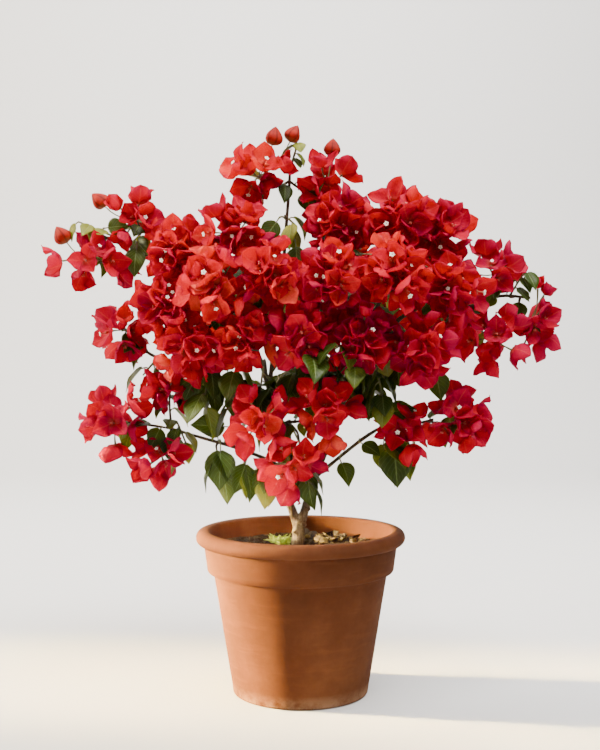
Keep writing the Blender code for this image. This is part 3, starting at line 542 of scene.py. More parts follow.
def finish_tree(tree, geometry, material):
    """End a tree: its instances made real, in its material."""
    whole = out(tree, "GeometryNodeRealizeInstances", {0: geometry})
    painted = out(tree, "GeometryNodeSetMaterial", {"Geometry": whole, "Material": material})
    add(tree, "NodeGroupOutput", {0: painted})


def attribute(tree, name, kind):
    return out(tree, "GeometryNodeInputNamedAttribute", {"Name": name}, data_type=kind)


def members(tree, collection):
    """The blanks of a collection, each an instance of its own."""
    return out(tree, "GeometryNodeCollectionInfo",
               {"Collection": collection, "Separate Children": True, "Reset Children": True})


def random_number(tree, low, high, seed):
    made = add(tree, "FunctionNodeRandomValue", {2: low, 3: high, "Seed": seed}, data_type="FLOAT")
    return made.outputs[1]


def make_setting_tree():
    """Sets one of a collection's blanks on each point, turned and sized by its attributes."""
    tree, given = new_tree("set_blanks_on_points", ("Blanks", "NodeSocketCollection", None))
    set_down = out(tree, "GeometryNodeInstanceOnPoints",
                   {"Points": given["Geometry"], "Instance": members(tree, given["Blanks"]),
                    "Pick Instance": True,
                    "Instance Index": attribute(tree, "variant", "INT"),
                    "Rotation": attribute(tree, "turn", "FLOAT_VECTOR"),
                    "Scale": attribute(tree, "size", "FLOAT_VECTOR")})
    finish_tree(tree, set_down, given["Material"])
    return tree


def make_stalk_tree():
    """Round stalks along polylines, as thick at each point as its radius attribute."""
    tree, given = new_tree("stalks_along_lines", ("Sides", "NodeSocketInt", 8))
    lines = out(tree, "GeometryNodeMeshToCurve", {"Mesh": given["Geometry"]})
    outline = out(tree, "GeometryNodeCurvePrimitiveCircle",
                  {"Resolution": given["Sides"], "Radius": 1.0})
    sweep = out(tree, "GeometryNodeCurveToMesh",
                {"Curve": lines, "Profile Curve": outline,
                 "Scale": attribute(tree, "radius", "FLOAT"), "Fill Caps": True})
    rounded = out(tree, "GeometryNodeSetShadeSmooth", {"Geometry": sweep})
    finish_tree(tree, rounded, given["Material"])
    return tree


def make_bark_tree():
    """Pushes a wood surface out and in by long ridges and by knots."""
    tree, given = new_tree("bark_relief", ("Ridge Depth", "NodeSocketFloat", 0.0006),
                           ("Knot Depth", "NodeSocketFloat", 0.0012))
    at = out(tree, "GeometryNodeInputPosition")
    drawn_out = out(tree, "ShaderNodeVectorMath", {0: at, 1: (420.0, 420.0, 70.0)},
                    operation="MULTIPLY")
    ridge = out(tree, "ShaderNodeTexNoise", {"Vector": drawn_out, "Scale": 1.0, "Detail": 3.0})
    knot = out(tree, "ShaderNodeTexNoise", {"Vector": at, "Scale": 95.0, "Detail": 2.0})
    rise = plus(tree, times(tree, less(tree, ridge, 0.5), given["Ridge Depth"]),
                times(tree, less(tree, knot, 0.5), given["Knot Depth"]))
    push = out(tree, "ShaderNodeVectorMath",
               {0: out(tree, "GeometryNodeInputNormal"), "Scale": rise}, operation="SCALE")
    moved = out(tree, "GeometryNodeSetPosition", {"Geometry": given["Geometry"], "Offset": push})
    finish_tree(tree, moved, given["Material"])
    return tree


def make_strewing_tree():
    """Strews a collection's blanks over a surface, each turned, sized and tinted at random."""
    tree, given = new_tree("strew_over_surface", ("Blanks", "NodeSocketCollection", None),
                           ("Density", "NodeSocketFloat", 1000.0),
                           ("Smallest", "NodeSocketFloat", 0.5),
                           ("Largest", "NodeSocketFloat", 1.0),
                           ("Tilt", "NodeSocketFloat", 0.5), ("Seed", "NodeSocketInt", 1))
    seed, tilt = given["Seed"], given["Tilt"]
    points = out(tree, "GeometryNodeDistributePointsOnFaces",
                 {"Mesh": given["Geometry"], "Density": given["Density"], "Seed": seed})
    back = times(tree, tilt, -1.0)
    low = out(tree, "ShaderNodeCombineXYZ", {0: back, 1: back, 2: 0.0})
    high = out(tree, "ShaderNodeCombineXYZ", {0: tilt, 1: tilt, 2: 2 * math.pi})
    turn = out(tree, "FunctionNodeRandomValue", {"Min": low, "Max": high, "Seed": seed},
               data_type="FLOAT_VECTOR")
    size = random_number(tree, given["Smallest"], given["Largest"], seed)
    pick = add(tree, "FunctionNodeRandomValue", {4: 0, 5: 100, "Seed": seed}, data_type="INT")
    set_down = out(tree, "GeometryNodeInstanceOnPoints",
                   {"Points": points, "Instance": members(tree, given["Blanks"]),
                    "Pick Instance": True, "Instance Index": pick.outputs[2],
                    "Rotation": turn, "Scale": size})
    tint = random_number(tree, 0.0, 1.0, plus(tree, seed, 7.0))
    tinted = out(tree, "GeometryNodeStoreNamedAttribute",
                 {"Geometry": set_down, "Name": "tint", "Value": tint},
                 data_type="FLOAT", domain="INSTANCE")
    finish_tree(tree, tinted, given["Material"])
    return tree


def run_tree(name, mesh, tree, **values):
    """Object whose plain mesh is what a geometry tree makes of the given mesh."""
    obj = in_scene(name, mesh)
    modifier = obj.modifiers.new("make", "NODES")
    modifier.node_group = tree
    labels = {item.name: item.identifier for item in tree.interface.items_tree
              if item.in_out == "INPUT"}
    for label, value in values.items():
        modifier[labels[label.replace("_", " ")]] = value
    return applied(obj)


def applied(obj):
    """Replace the object's mesh by what its modifiers make of it."""
    graph = bpy.context.evaluated_depsgraph_get()
    mesh = bpy.data.meshes.new_from_object(obj.evaluated_get(graph))
    obj.modifiers.clear()
    obj.data = mesh
    return obj


# ---- blanks: one of each small thing, at the origin, to be set many times ----
BRACT_OUTLINE = ((0.0, 0.10), (0.09, 0.27), (0.24, 0.405), (0.41, 0.46), (0.58, 0.45),
                 (0.73, 0.385), (0.85, 0.27), (0.93, 0.14), (1.0, 0.0))       # along, half width
LEAF_SIDES = ((0.0, 0.06), (0.05, 0.185), (0.14, 0.305), (0.27, 0.375), (0.41, 0.375),
              (0.55, 0.325), (0.69, 0.24), (0.82, 0.14), (0.92, 0.06), (1.0, 0.0))
ANY_TURN = 6.28                 # radians


def collection_of(name, make, count):
    """Collection out of sight that holds the blanks, in the order of their names."""
    home = bpy.data.collections.new(name)
    for number in range(count):
        home.objects.link(make(number))
    return home


def blade(name, steps, columns, at, thickness):
    """Closed thin blade; at(u, v) places the point u along it and v (-1 to 1) across it."""
    bm = bmesh.new()
    layer = bm.loops.layers.uv.new("blade")
    grid = [[bm.verts.new(at(u, 2 * j / columns - 1)) for j in range(columns + 1)] for u in steps]
    for i in range(len(steps) - 1):
        for j in range(columns):
            corners = ((i, j), (i + 1, j), (i + 1, j + 1), (i, j + 1))
            face = bm.faces.new([grid[a][b] for a, b in corners])
            for loop, (a, b) in zip(face.loops, corners):
                loop[layer].uv = (steps[a], b / columns)
    bmesh.ops.remove_doubles(bm, verts=bm.verts, dist=1e-5)
    bm.normal_update()
    obj = in_scene(name, mesh_of(bm, name))
    shell = obj.modifiers.new("thickness", "SOLIDIFY")
    shell.thickness = thickness
    shell.offset = 0.0
    applied(obj)
    smooth(obj.data)
    bpy.context.scene.collection.objects.unlink(obj)
    return obj


def make_bract(number):
    """One papery bract of unit length along +X, hollow side up, with its own waves and curl."""
    draw = seeded(f"bract {number}")
    belly, hollow = draw.uniform(0.10, 0.24), draw.uniform(0.25, 0.75)
    curl, twist = draw.uniform(-0.25, 0.45), draw.uniform(-0.45, 0.45)
    ripple, beats = draw.uniform(0.03, 0.09), draw.uniform(1.2, 2.6)
    phase = draw.uniform(0, ANY_TURN)
    width = draw.uniform(0.94, 1.10)
    crumple = Vector((draw.uniform(0, 50), draw.uniform(0, 50), draw.uniform(0, 50)))
    half_widths = dict(BRACT_OUTLINE)

    def at(u, v):
        half = half_widths[u] * width
        y = v * half
        z = -belly * 4 * u * (1 - u) + hollow * half * v * v
        z -= curl * max(0.0, u - 0.50) ** 2 * 1.6
        beat = beats * 2 * math.pi * u + phase + (1.3 if v > 0 else 0)
        z += ripple * abs(v) ** 1.5 * math.sin(beat)
        z += twist * u * u * y
        z += 0.075 * noise.noise(Vector((u * 3.4, y * 3.4, 0)) + crumple)
        z -= 0.035 * math.exp(-(v / 0.12) ** 2) * (1 - u)       # furrow along the midrib
        x = 0.03 + 0.97 * u - 0.10 * abs(v) ** 2 * half
        return Vector((x, y * (1 - 0.18 * abs(v) * hollow), z))
    return blade(f"bract_{number:02d}", [u for u, _ in BRACT_OUTLINE], 6, at, 0.010)


def make_leaf(number):
    """One leaf of unit length along +X, folded up from its midrib, with a drawn-out point."""
    draw = seeded(f"leaf {number}")
    fold, ripple = draw.uniform(0.12, 0.34), draw.uniform(0.008, 0.030)
    droop, bend = draw.uniform(0.15, 0.55), draw.uniform(-0.10, 0.10)
    phase = draw.uniform(0, ANY_TURN)
    half_widths = dict(LEAF_SIDES)

    def at(u, v):
        x, y = 0.92 * u - 0.04 * (1 - u) ** 6 * abs(v), v * half_widths[u]
        z = fold * abs(y) - droop * max(0.0, x - 0.30) ** 2 * 0.8
        z += (ripple * abs(v) * math.sin(11 * u + phase)
              + 0.02 * math.sin(math.pi * abs(v)) * (1 - u))
        return Vector((x, y + bend * u * u, z))
    return blade(f"leaf_{number:02d}", [u for u, _ in LEAF_SIDES], 6, at, 0.010)


def closed_rings(name, rings, sides):
    """Closed mesh from rings (mark along it, point at an angle); the first and last are points."""
    bm = bmesh.new()
    layer = bm.loops.layers.uv.new("blade")
    first = bm.verts.new(rings[0][1](0.0))
    last = bm.verts.new(rings[-1][1](0.0))
    middle = [[bm.verts.new(rule(2 * math.pi * k / sides)) for k in range(sides)]
              for _, rule in rings[1:-1]]
    marks = [mark for mark, _ in rings]

    def face(*corners):
        made = bm.faces.new([vert for vert, _, _ in corners])
        for loop, (_, along, around) in zip(made.loops, corners):
            loop[layer].uv = (along, around)

    for k in range(sides):
        a, b = k / sides, (k + 1) / sides
        n = (k + 1) % sides
        face((first, marks[0], a), (middle[0][n], marks[1], b), (middle[0][k], marks[1], a))
        for i in range(len(middle) - 1):
            face((middle[i][k], marks[i + 1], a), (middle[i][n], marks[i + 1], b),
                 (middle[i + 1][n], marks[i + 2], b), (middle[i + 1][k], marks[i + 2], a))
        face((last, marks[-1], a), (middle[-1][k], marks[-2], a), (middle[-1][n], marks[-2], b))
    bmesh.ops.recalc_face_normals(bm, faces=bm.faces)
    mesh = mesh_of(bm, name)
    smooth(mesh)
    return bpy.data.objects.new(name, mesh)


def ring(radius, z):
    return lambda a: Vector((radius * math.cos(a), radius * math.sin(a), z))


def star(radius, notch, z, lift):
    """Ring with five lobes; notch is its width between them, of its radius."""
    def at(a):
        lobe = (1 + math.cos(5 * a)) / 2
        reach = radius * (notch + (1 - notch) * lobe)
        return Vector((reach * math.cos(a), reach * math.sin(a), z + lift * lobe))
    return at


OPEN_FLOWER = ((0.0, ring(0, 0)), (0.05, ring(0.07, 0.02)), (0.25, ring(0.09, 0.22)),
               (0.5, ring(0.065, 0.6)), (0.66, ring(0.10, 0.9)),
               (0.75, star(0.29, 0.72, 0.955, 0.0)), (0.8, star(0.31, 0.70, 0.985, 0.02)),
               (0.86, star(0.20, 0.9, 0.995, 0.0)), (0.92, ring(0.085, 0.985)),
               (1.0, ring(0, 0.90)))
SHUT_FLOWER = ((0.0, ring(0, 0)), (0.1, ring(0.085, 0.05)), (0.2, ring(0.10, 0.3)),
               (0.3, ring(0.07, 0.62)), (0.4, ring(0.115, 0.85)), (0.5, ring(0, 1.0)))


def make_flower(number):
    """Tube of unit length up +Z: 0 with a five-lobed star about half as wide, 1 still shut."""
    if number == 0:
        return closed_rings("flower_0_open", OPEN_FLOWER, 10)
    return closed_rings("flower_1_closed", SHUT_FLOWER, 6)


def make_bud(number):
    """Three bracts still shut into a ribbed, pointed lantern of unit length up +Z."""
    draw = seeded(f"bud {number}")
    full, lean = draw.uniform(0.44, 0.49), draw.uniform(-0.05, 0.05)

    def level(t):
        swell = full * math.sin(math.pi * min(1.0, t) ** 0.72) ** 0.8 * (1 - 0.25 * t)

        def at(a):
            fold = 1 + 0.15 * math.cos(3 * a) * (0.4 + t) - 0.05 * math.cos(9 * a) * t
            return Vector((swell * fold * math.cos(a) + lean * t, swell * fold * math.sin(a), t))
        return at
    return closed_rings(f"bud_{number:02d}", [(i / 10, level(i / 10)) for i in range(11)], 18)


def make_crumb(number):
    """Lump of soil about 1 unit across."""
    draw = seeded(f"crumb {number}")
    shift = Vector((draw.uniform(0, 90), draw.uniform(0, 90), draw.uniform(0, 90)))
    bm = bmesh.new()
    bmesh.ops.create_icosphere(bm, subdivisions=1, radius=0.5)
    for vert in bm.verts:
        vert.co *= 1 + 0.7 * noise.noise(vert.co * 2.4 + shift)
        vert.co.z *= 0.7
    return bpy.data.objects.new(f"crumb_{number}", mesh_of(bm, f"crumb_{number}"))


def make_scrap(number):
    """Curled scrap of dry leaf about 1 unit long, lying flat."""
    draw = seeded(f"scrap {number}")
    curl, wide = draw.uniform(0.2, 0.7), draw.uniform(0.16, 0.36)
    nick = draw.uniform(0, ANY_TURN)

    def at(u, v):
        half = wide * math.sin(math.pi * (0.06 + 0.88 * u)) * (1 + 0.25 * math.sin(9 * u + nick))
        return Vector((u - 0.5, v * half, curl * (u - 0.5) ** 2 + 0.5 * curl * half * v * v + 0.05))
    return blade(f"scrap_{number}", [i / 4 for i in range(5)], 2, at, 0.03)


# ---- where the solids stand: the same seeded rules as the part's source ----
def frame_along(direction, origin, spin):
    """Matrix that takes +Z to the direction and the origin to the given point."""
    turn = direction.to_track_quat("Z", "Y").to_matrix().to_4x4()
    return Matrix.Translation(origin) @ turn @ Matrix.Rotation(spin, 4, "Z")


def cap_directions(facing, spread, count, draw):
    """Directions spread evenly over a cap round facing."""
    aim = facing.to_track_quat("Z", "Y")
    turn = draw.uniform(0, 2 * math.pi)
    for i in range(count):
        up = 1 - (i + 0.5) / count * (1 - math.cos(spread))
        angle = turn + i * GOLDEN
        side = math.sqrt(max(0.0, 1 - up * up))
        yield aim @ Vector((side * math.cos(angle), side * math.sin(angle), up))


def any_way(draw):
    """Random push, up to 1 along each axis."""
    return Vector((draw.uniform(-1, 1), draw.uniform(-1, 1), draw.uniform(-1, 1)))


def bloom_tries(middle, direction, reach, draw):
    """Ever smaller and more turned placings of one bloom: matrix, size and cup."""
    size = BRACT * MM * draw.uniform(*BLOOM_SIZE)
    cup = math.radians(draw.uniform(*CUP))
    spin = draw.uniform(0, 2 * math.pi)
    out_by = draw.uniform(*BLOOM_OUT)
    lean = any_way(draw) * BLOOM_LEAN
    for attempt in range(TRIES):
        step = attempt / TRIES
        angle = 2.4 * attempt
        wander = Vector((math.cos(angle), math.sin(angle), math.cos(3.7 * attempt)))
        heading = (direction + wander * 0.5 * step).normalized()
        axis = (heading + lean * (1 - step)).normalized()
        spot = middle + heading * reach * out_by * (1 + 0.25 * step)
        matrix = frame_along(axis, spot, spin + 0.6 * attempt)
        yield matrix, size * (1 - 0.30 * step), cup + 0.5 * step


def leaf_tries(root, along, angle, size, draw):
    """Placings of one leaf round its stem: matrix, length and droop."""
    size *= draw.uniform(*LEAF_SIZE)
    droop = draw.uniform(*LEAF_DROOP)
    hang = draw.uniform(*LEAF_HANG)
    light = Vector((0, math.copysign(LEAF_TURN, root.y), 0))
    for attempt in range(TRIES):
        turned_by = angle + 0.45 * attempt * (-1) ** attempt
        matrix = leaf_matrix(root, along, turned_by, size, hang, light)
        yield matrix, size * (1 - 0.3 * attempt / TRIES), droop


def leaf_matrix(root, along, angle, size, hang, light):
    """Sets a leaf off its stem at an angle round it, hanging, its face turned to the light."""
    side = along.orthogonal().normalized()
    side.rotate(Matrix.Rotation(angle, 3, along))
    side = (side + light).normalized()
    heading = (side + 0.4 * along + Vector((0, 0, -hang))).normalized()
    across = side.cross(heading).normalized()
    outward = heading.cross(across)
    if outward.dot(side) < 0:
        across, outward = -across, -outward
    spot = root + (0.7 * side + 0.7 * along * (1 if along.z > 0 else 0.2)) * PETIOLE_SHARE * size
    return Matrix.Translation(spot) @ axes(heading, across, outward)


def corners_of(node):
    """Search tree of a solid's corners."""
    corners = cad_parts[node].data.vertices
    tree = KDTree(len(corners))
    for i, corner in enumerate(corners):
        tree.insert(corner.co, i)
    tree.balance()
    return tree


def has_corners(tree, points):
    return all(tree.find(point)[2] < MATCH for point in points)


def bract_tip(size, cup, number):
    """Tip of one of a bloom's three bracts."""
    flat, turn = size * math.cos(cup), number * 2 * math.pi / 3
    return Vector((flat * math.cos(turn), flat * math.sin(turn), 0.9 * size * math.sin(cup)))


def blooms_of(name):
    """The blooms that the head's solid has: matrix, size and cup of each."""
    middle, facing, reach, spread, count, _ = HEADS[name]
    draw = seeded(name)
    middle, facing, reach = place(*middle), Vector(facing).normalized(), place(*reach)
    corners = corners_of(name)
    for direction in cap_directions(facing, math.radians(spread), count, draw):
        for matrix, size, cup in bloom_tries(middle, direction, reach, draw):
            if has_corners(corners, [matrix @ bract_tip(size, cup, k) for k in range(3)]):
                yield matrix, size, cup
                break


def leaves_of(name):
    """The leaves that the leafy stem's solid has: root, matrix and length of each."""
    foot, tip, count, size, _ = SHOOTS[name]
    draw = seeded(name)
    foot, tip = place(*foot), place(*tip)
    along = (tip - foot).normalized()
    corners = corners_of(name)
    start = draw.uniform(0, 2 * math.pi)
    for i in range(count):
        base = foot.lerp(tip, 0.15 + 0.80 * i / max(1, count - 1))
        for matrix, length, droop in leaf_tries(base, along, start + i * GOLDEN, size * MM, draw):
            ahead = LEAF_OUTLINE[0] * length
            point = Vector((LEAF_OUTLINE[-1] * length + ahead, 0, -droop * ahead ** 2 / length))
            if has_corners(corners, [matrix @ point]):
                yield base, matrix, length
                break


# ---- point meshes and polylines that the geometry trees work on ----
class Setting:
    """Points that blanks are set on, each with its own turn, size, variant and tint."""

    def __init__(self):
        self.points, self.turns, self.sizes, self.variants, self.tints = [], [], [], [], []

    def put(self, matrix, size, variant, tint):
        self.points.append(matrix.to_translation())
        self.turns.append(matrix.to_euler())
        self.sizes.append(size)
        self.variants.append(variant)
        self.tints.append(tint)

    def mesh(self, name):
        mesh = bpy.data.meshes.new(name)
        mesh.from_pydata(self.points, [], [])
        write_attribute(mesh, "turn", "FLOAT_VECTOR", self.turns)
        write_attribute(mesh, "size", "FLOAT_VECTOR", self.sizes)
        write_attribute(mesh, "variant", "INT", self.variants)
        write_attribute(mesh, "tint", "FLOAT", self.tints)
        return mesh


def write_attribute(mesh, name, kind, values):
    made = mesh.attributes.new(name, kind, "POINT")
    if kind == "FLOAT_VECTOR":
        made.data.foreach_set("vector", [number for value in values for number in value])
    else:
        made.data.foreach_set("value", values)


class Lines:
    """Polylines; points in metres, with a radius in mm at each."""

    def __init__(self):
        self.points, self.edges, self.radii = [], [], []

    def draw(self, points, radii):
        first = len(self.points)
        self.points += points
        self.radii += [radius * MM for radius in radii]
        self.edges += [(first + i, first + i + 1) for i in range(len(points) - 1)]

    def mesh(self, name):
        mesh = bpy.data.meshes.new(name)
        mesh.from_pydata(self.points, self.edges, [])
        write_attribute(mesh, "radius", "FLOAT", self.radii)
        return mesh


def smooth_route(knots, per_span):
    """Catmull-Rom curve through knots of any length, per_span points to a span."""
    ends = [2 * knots[0] - knots[1], *knots, 2 * knots[-1] - knots[-2]]
    route = []
    for a, b, c, d in zip(ends, ends[1:], ends[2:], ends[3:]):
        for step in range(per_span):
            t = step / per_span
            route.append(0.5 * (2 * b + (c - a) * t + (2 * a - 5 * b + 4 * c - d) * t * t
                                + (3 * b - a - 3 * c + d) * t ** 3))
    return [*route, knots[-1]]


def limb_route(name, per_span=6):
    """Points (metres) and radii (mm) of a limb."""
    route = smooth_route([Vector(knot) for knot in LIMBS[name]], per_span)
    return [place(*p[:3]) for p in route], [p[3] for p in route]


def bent_line(start, end, bend, count):
    """Curve from start to end that leaves its straight line towards bend."""
    steps = [i / count for i in range(count + 1)]
    return [start * (1 - t) ** 2 + bend * 2 * t * (1 - t) + end * t * t for t in steps]


# ---- wood ----
KNOTS = (                       # x, y, z, radius, rise: swellings and stubs of cut shoots
    (-6.0, -3.5, 181, 4.6, 4), (3.0, -3.5, 189, 4.2, 5), (-2.0, -2.0, 193, 5.6, 4),
    (-9.5, -2.0, 200, 3.6, 3), (8.5, -1.5, 207, 3.4, 4), (-15.5, -2.5, 222, 3.2, 3),
    (14.0, -2.0, 230, 3.2, 3), (-4.0, 4.5, 186, 4.4, 5),
)
ROOT_COLLAR = (                 # x, y, z, radius: the trunk's flare into the soil
    (-4, 0, 152, 10.5), (-4, 0, 163, 9.2), (-3.6, 0, 168, 8.0), (-3.2, 0, 174, 7.2))


def twig_line(limb, end, facing):
    """Smooth twig from its limb to a point, arriving along facing: points and radii (mm)."""
    points, _ = limb_route(limb, 1)
    forks = [a.lerp(b, t / 4) for a, b in zip(points, points[1:]) for t in range(4)][2:]
    start = min(forks, key=lambda p: (p - end).length - 0.35 * (p - end).dot(facing))
    fine, radii = limb_route(limb)
    nearest = min(range(len(fine)), key=lambda i: (fine[i] - start).length)
    neck = end - facing * TWIG_END * MM
    bend = neck - facing * 0.4 * (neck - start).length
    route = bent_line(fine[nearest], neck, bend, 7)
    wide = min(TWIG_START, 0.9 * radii[nearest])
    return [*route, end], [wide + (TWIG_TIP - wide) * i / 8 for i in range(9)]


def head_twig(name):
    """The twig that carries a head."""
    middle, facing, reach, _, _, limb = HEADS[name]
    along = Vector(facing).normalized()
    hub_foot = place(*middle) - along * (HUB_SHARE * MM * sum(reach) / 3 + STALK_REACH * MM)
    return twig_line(limb, hub_foot, along)


def thick_wood(stalk_tree, bark):
    """Trunk and its two stems, melted together at the crotch."""
    lines = Lines()
    for name in THICK_LIMBS:
        lines.draw(*limb_route(name, 10))
    lines.draw([place(*point) for *point, _ in ROOT_COLLAR], [point[3] for point in ROOT_COLLAR])
    for *start, radius, rise in KNOTS:
        lines.draw([place(*start), place(*start) + place(0, 0, rise)], [radius, 0.8 * radius])
    wood = run_tree("thick_wood", lines.mesh("thick_wood"), stalk_tree, Sides=20, Material=bark)
    melt = wood.modifiers.new("melt", "REMESH")
    melt.mode = "VOXEL"
    melt.voxel_size = 0.8 * MM
    soften = wood.modifiers.new("soften", "SMOOTH")
    soften.factor = 0.6
    soften.iterations = 7
    return applied(wood)


def make_wood(stalk_tree, bark_tree, bark):
    """Every limb and twig, in bark."""
    lines = Lines()
    for name in LIMBS:
        if name not in THICK_LIMBS:
            lines.draw(*limb_route(name))
    for name in HEADS:
        points, radii = head_twig(name)
        lines.draw([*points, place(*HEADS[name][0])], [*radii, radii[-1]])
    for foot, tip, _, _, limb in SHOOTS.values():
        along = (place(*tip) - place(*foot)).normalized()
        lines.draw(*twig_line(limb, place(*foot), along))
    thin = run_tree("thin_wood", lines.mesh("thin_wood"), stalk_tree, Sides=10, Material=bark)
    bm = bmesh.new()
    for wood in (thick_wood(stalk_tree, bark), thin):
        bm.from_mesh(wood.data)
        bpy.data.objects.remove(wood)
    ridged = run_tree("wood_surface", mesh_of(bm, "wood_surface"), bark_tree, Material=bark)
    smooth(ridged.data)
    return ridged


# ---- heads of bracts ----
BRACT_KINDS, LEAF_KINDS, FLOWER_KINDS, BUD_KINDS = 12, 8, 2, 3
CRUMB_KINDS = SCRAP_KINDS = 6

LOOSE_HEADS = (
    "head_top_left", "head_top_right", "head_arm_left", "head_arm_tip", "head_mid_left",
    "head_far_right_top", "head_far_right_low", "head_tip_right", "head_low_left_a",
    "head_low_left_b", "head_low_left_c", "head_low_mid_a", "head_low_mid_b", "head_low_mid_c",
    "head_low_right_a", "head_low_right_b",
)
BELL_HEADS = ("head_arm_left", "head_arm_tip", "head_mid_left", "head_tip_right", "head_low_left_b")
LOOSE_LIFT, BELL_LIFT = 0.22, 0.45      # how far the bracts close up, of their length
LOOSE_FILL = (0.5, 0.2, 0.8)    # fillers for each bloom of the solid, and how far out they stand
CROWN_FILL = (1.9, 0.4, 1.05)
FILL_SPOTS, FILL_WIDER, FILL_WIDEST = 40, 25, 150       # spots to choose from; spread (degrees)
FILL_CUP, FILL_SIZE, FILL_LEAN = (34, 66), (0.78, 1.0), 0.35    # degrees; shares
HALF_OPEN_CUP, HALF_OPEN_SIZE = (66, 76), 18            # degrees; mm

SUN_PAINTED_SPOTS = (                  # x, z, reach, strength: painted sunlit patches, where the blooms are made scarlet
    (-90, 440, 60, 0.62), (-10, 300, 50, 0.48), (96, 486, 42, 0.54), (-40, 590, 40, 0.30))
WARMTH, HALF_OPEN_WARMTH = 0.14, 0.15           # of the other blooms: 0 crimson, 1 scarlet
HEAD_STRAY, BLOOM_STRAY, BRACT_STRAY = 0.07, 0.19, 0.14         # how far the tint strays

FLOWERING = 0.34                # share of the blooms that have one open tube flower
TUBE_LEAN, TUBE_HEIGHT = (0.10, 0.26), (0.42, 0.54)     # radians; of a bract's length
OPEN_WIDTH, SHUT_SIZE = 0.72, 0.6               # of a tube flower's height
BRACT_TWIST, BRACT_LONG, BRACT_WIDE = 0.22, 1.03, (1.0, 1.16)   # radians; of the solid's bract
BLOOM_STALK = (0.75, 0.75, 0.75, 0.75, 0.9, 1.3)        # radii


def bract_matrix(matrix, direction, twist):
    """Takes a bract blank to a bloom: +X along the direction, its hollow side to the middle."""
    ahead = direction.normalized()
    inward = (Vector((0, 0, 1)) - ahead * ahead.z).normalized()
    across = inward.cross(ahead)
    return matrix @ axes(ahead, across, inward) @ Matrix.Rotation(twist, 4, "X")


def set_bloom(parts, matrix, size, cup, draw, warmth, hub, lift=0.0):
    """Three bracts, the tube flowers between them and the stalk, for one bloom; lift closes it."""
    tint = min(1.0, max(0.0, draw.gauss(warmth, BLOOM_STRAY)))
    for k in range(3):
        tip = bract_tip(size, cup, k)
        direction = tip + Vector((0, 0, (lift + draw.uniform(-0.05, 0.07)) * size))
        spot = bract_matrix(matrix, direction, draw.uniform(-BRACT_TWIST, BRACT_TWIST))
        length = tip.length
        shape = (BRACT_LONG * length, length * draw.uniform(*BRACT_WIDE), length)
        parts["bracts"].put(spot, shape, draw.randrange(BRACT_KINDS),
                            tint + draw.uniform(-BRACT_STRAY, BRACT_STRAY))
    flowering = draw.random() < FLOWERING
    for k in range(3):
        lean = Matrix.Rotation(draw.uniform(*TUBE_LEAN), 4, "X")
        between = k * 2 * math.pi / 3 + math.pi / 3
        around = Matrix.Rotation(between + draw.uniform(-0.3, 0.3), 4, "Z")
        height = size * draw.uniform(*TUBE_HEIGHT)
        if flowering and k == 0:
            shape, variant = (OPEN_WIDTH * height, OPEN_WIDTH * height, height), 0
        else:
            shape, variant = (SHUT_SIZE * height,) * 3, 1
        parts["flowers"].put(matrix @ around @ lean, shape, variant, 0.5)
    base = matrix.to_translation()
    axis = matrix.to_3x3() @ Vector((0, 0, 1))
    bend = base - axis * 0.6 * (base - hub).length
    parts["stalks"].draw(bent_line(hub, base, bend, 5), BLOOM_STALK)


def filler_blooms(name, taken, draw):
    """Younger blooms in the widest gaps between the head's blooms, most on its open side."""
    middle, facing, reach, spread, count, _ = HEADS[name]
    middle, facing, reach = place(*middle), Vector(facing).normalized(), place(*reach).x
    open_side = Vector((0, 1 if middle.y > BACK_HEAD * MM else -1, 0))
    share, near, far = LOOSE_FILL if name in LOOSE_HEADS else CROWN_FILL
    wider = math.radians(min(FILL_WIDEST, spread + FILL_WIDER))
    spots = list(cap_directions(facing, wider, FILL_SPOTS, draw))
    taken = list(taken)
    for _ in range(round(count * share)):
        spot = max(spots, key=lambda d: min((d - t).length for t in taken) + 0.4 * d.dot(open_side))
        taken.append(spot)
        cup = math.radians(draw.uniform(*FILL_CUP))
        size = BRACT * MM * draw.uniform(*FILL_SIZE)
        lean = any_way(draw) * FILL_LEAN
        at = middle + spot * reach * draw.uniform(near, far)
        yield frame_along((spot + lean).normalized(), at, draw.uniform(0, ANY_TURN)), size, cup


def half_open_blooms(name, draw):
    """The small upright blooms of a head that carries a row of buds, which are half open."""
    middle = place(*HEADS[name][0])
    for spot in BUDS[name]:
        spot = place(*spot)
        sway = Vector((draw.uniform(-0.3, 0.5), -0.2, 0.4))
        rise = ((spot - middle).normalized() + sway).normalized()
        matrix = frame_along(rise, spot - rise * BUD_LENGTH * MM / 2, draw.uniform(0, ANY_TURN))
        yield matrix, HALF_OPEN_SIZE * MM, math.radians(draw.uniform(*HALF_OPEN_CUP))


def tint_with_painted_sun(spot):
    """0 for crimson, 1 for scarlet: the blooms are made warmest over a few spots of the crown, as
    painted sunlight.
    """
    def sun_patch_share(x, z, reach, strength):
        away = (spot.x - x * MM) ** 2 + (spot.z - z * MM) ** 2
        return strength * math.exp(-away / (2 * (reach * MM) ** 2))
    return WARMTH + max(sun_patch_share(*sun_spot) for sun_spot in SUN_PAINTED_SPOTS)


def has_bud_row(name):
    """True where the head's buds are a row, which is shown half open."""
    return len(BUDS.get(name, ())) > 2


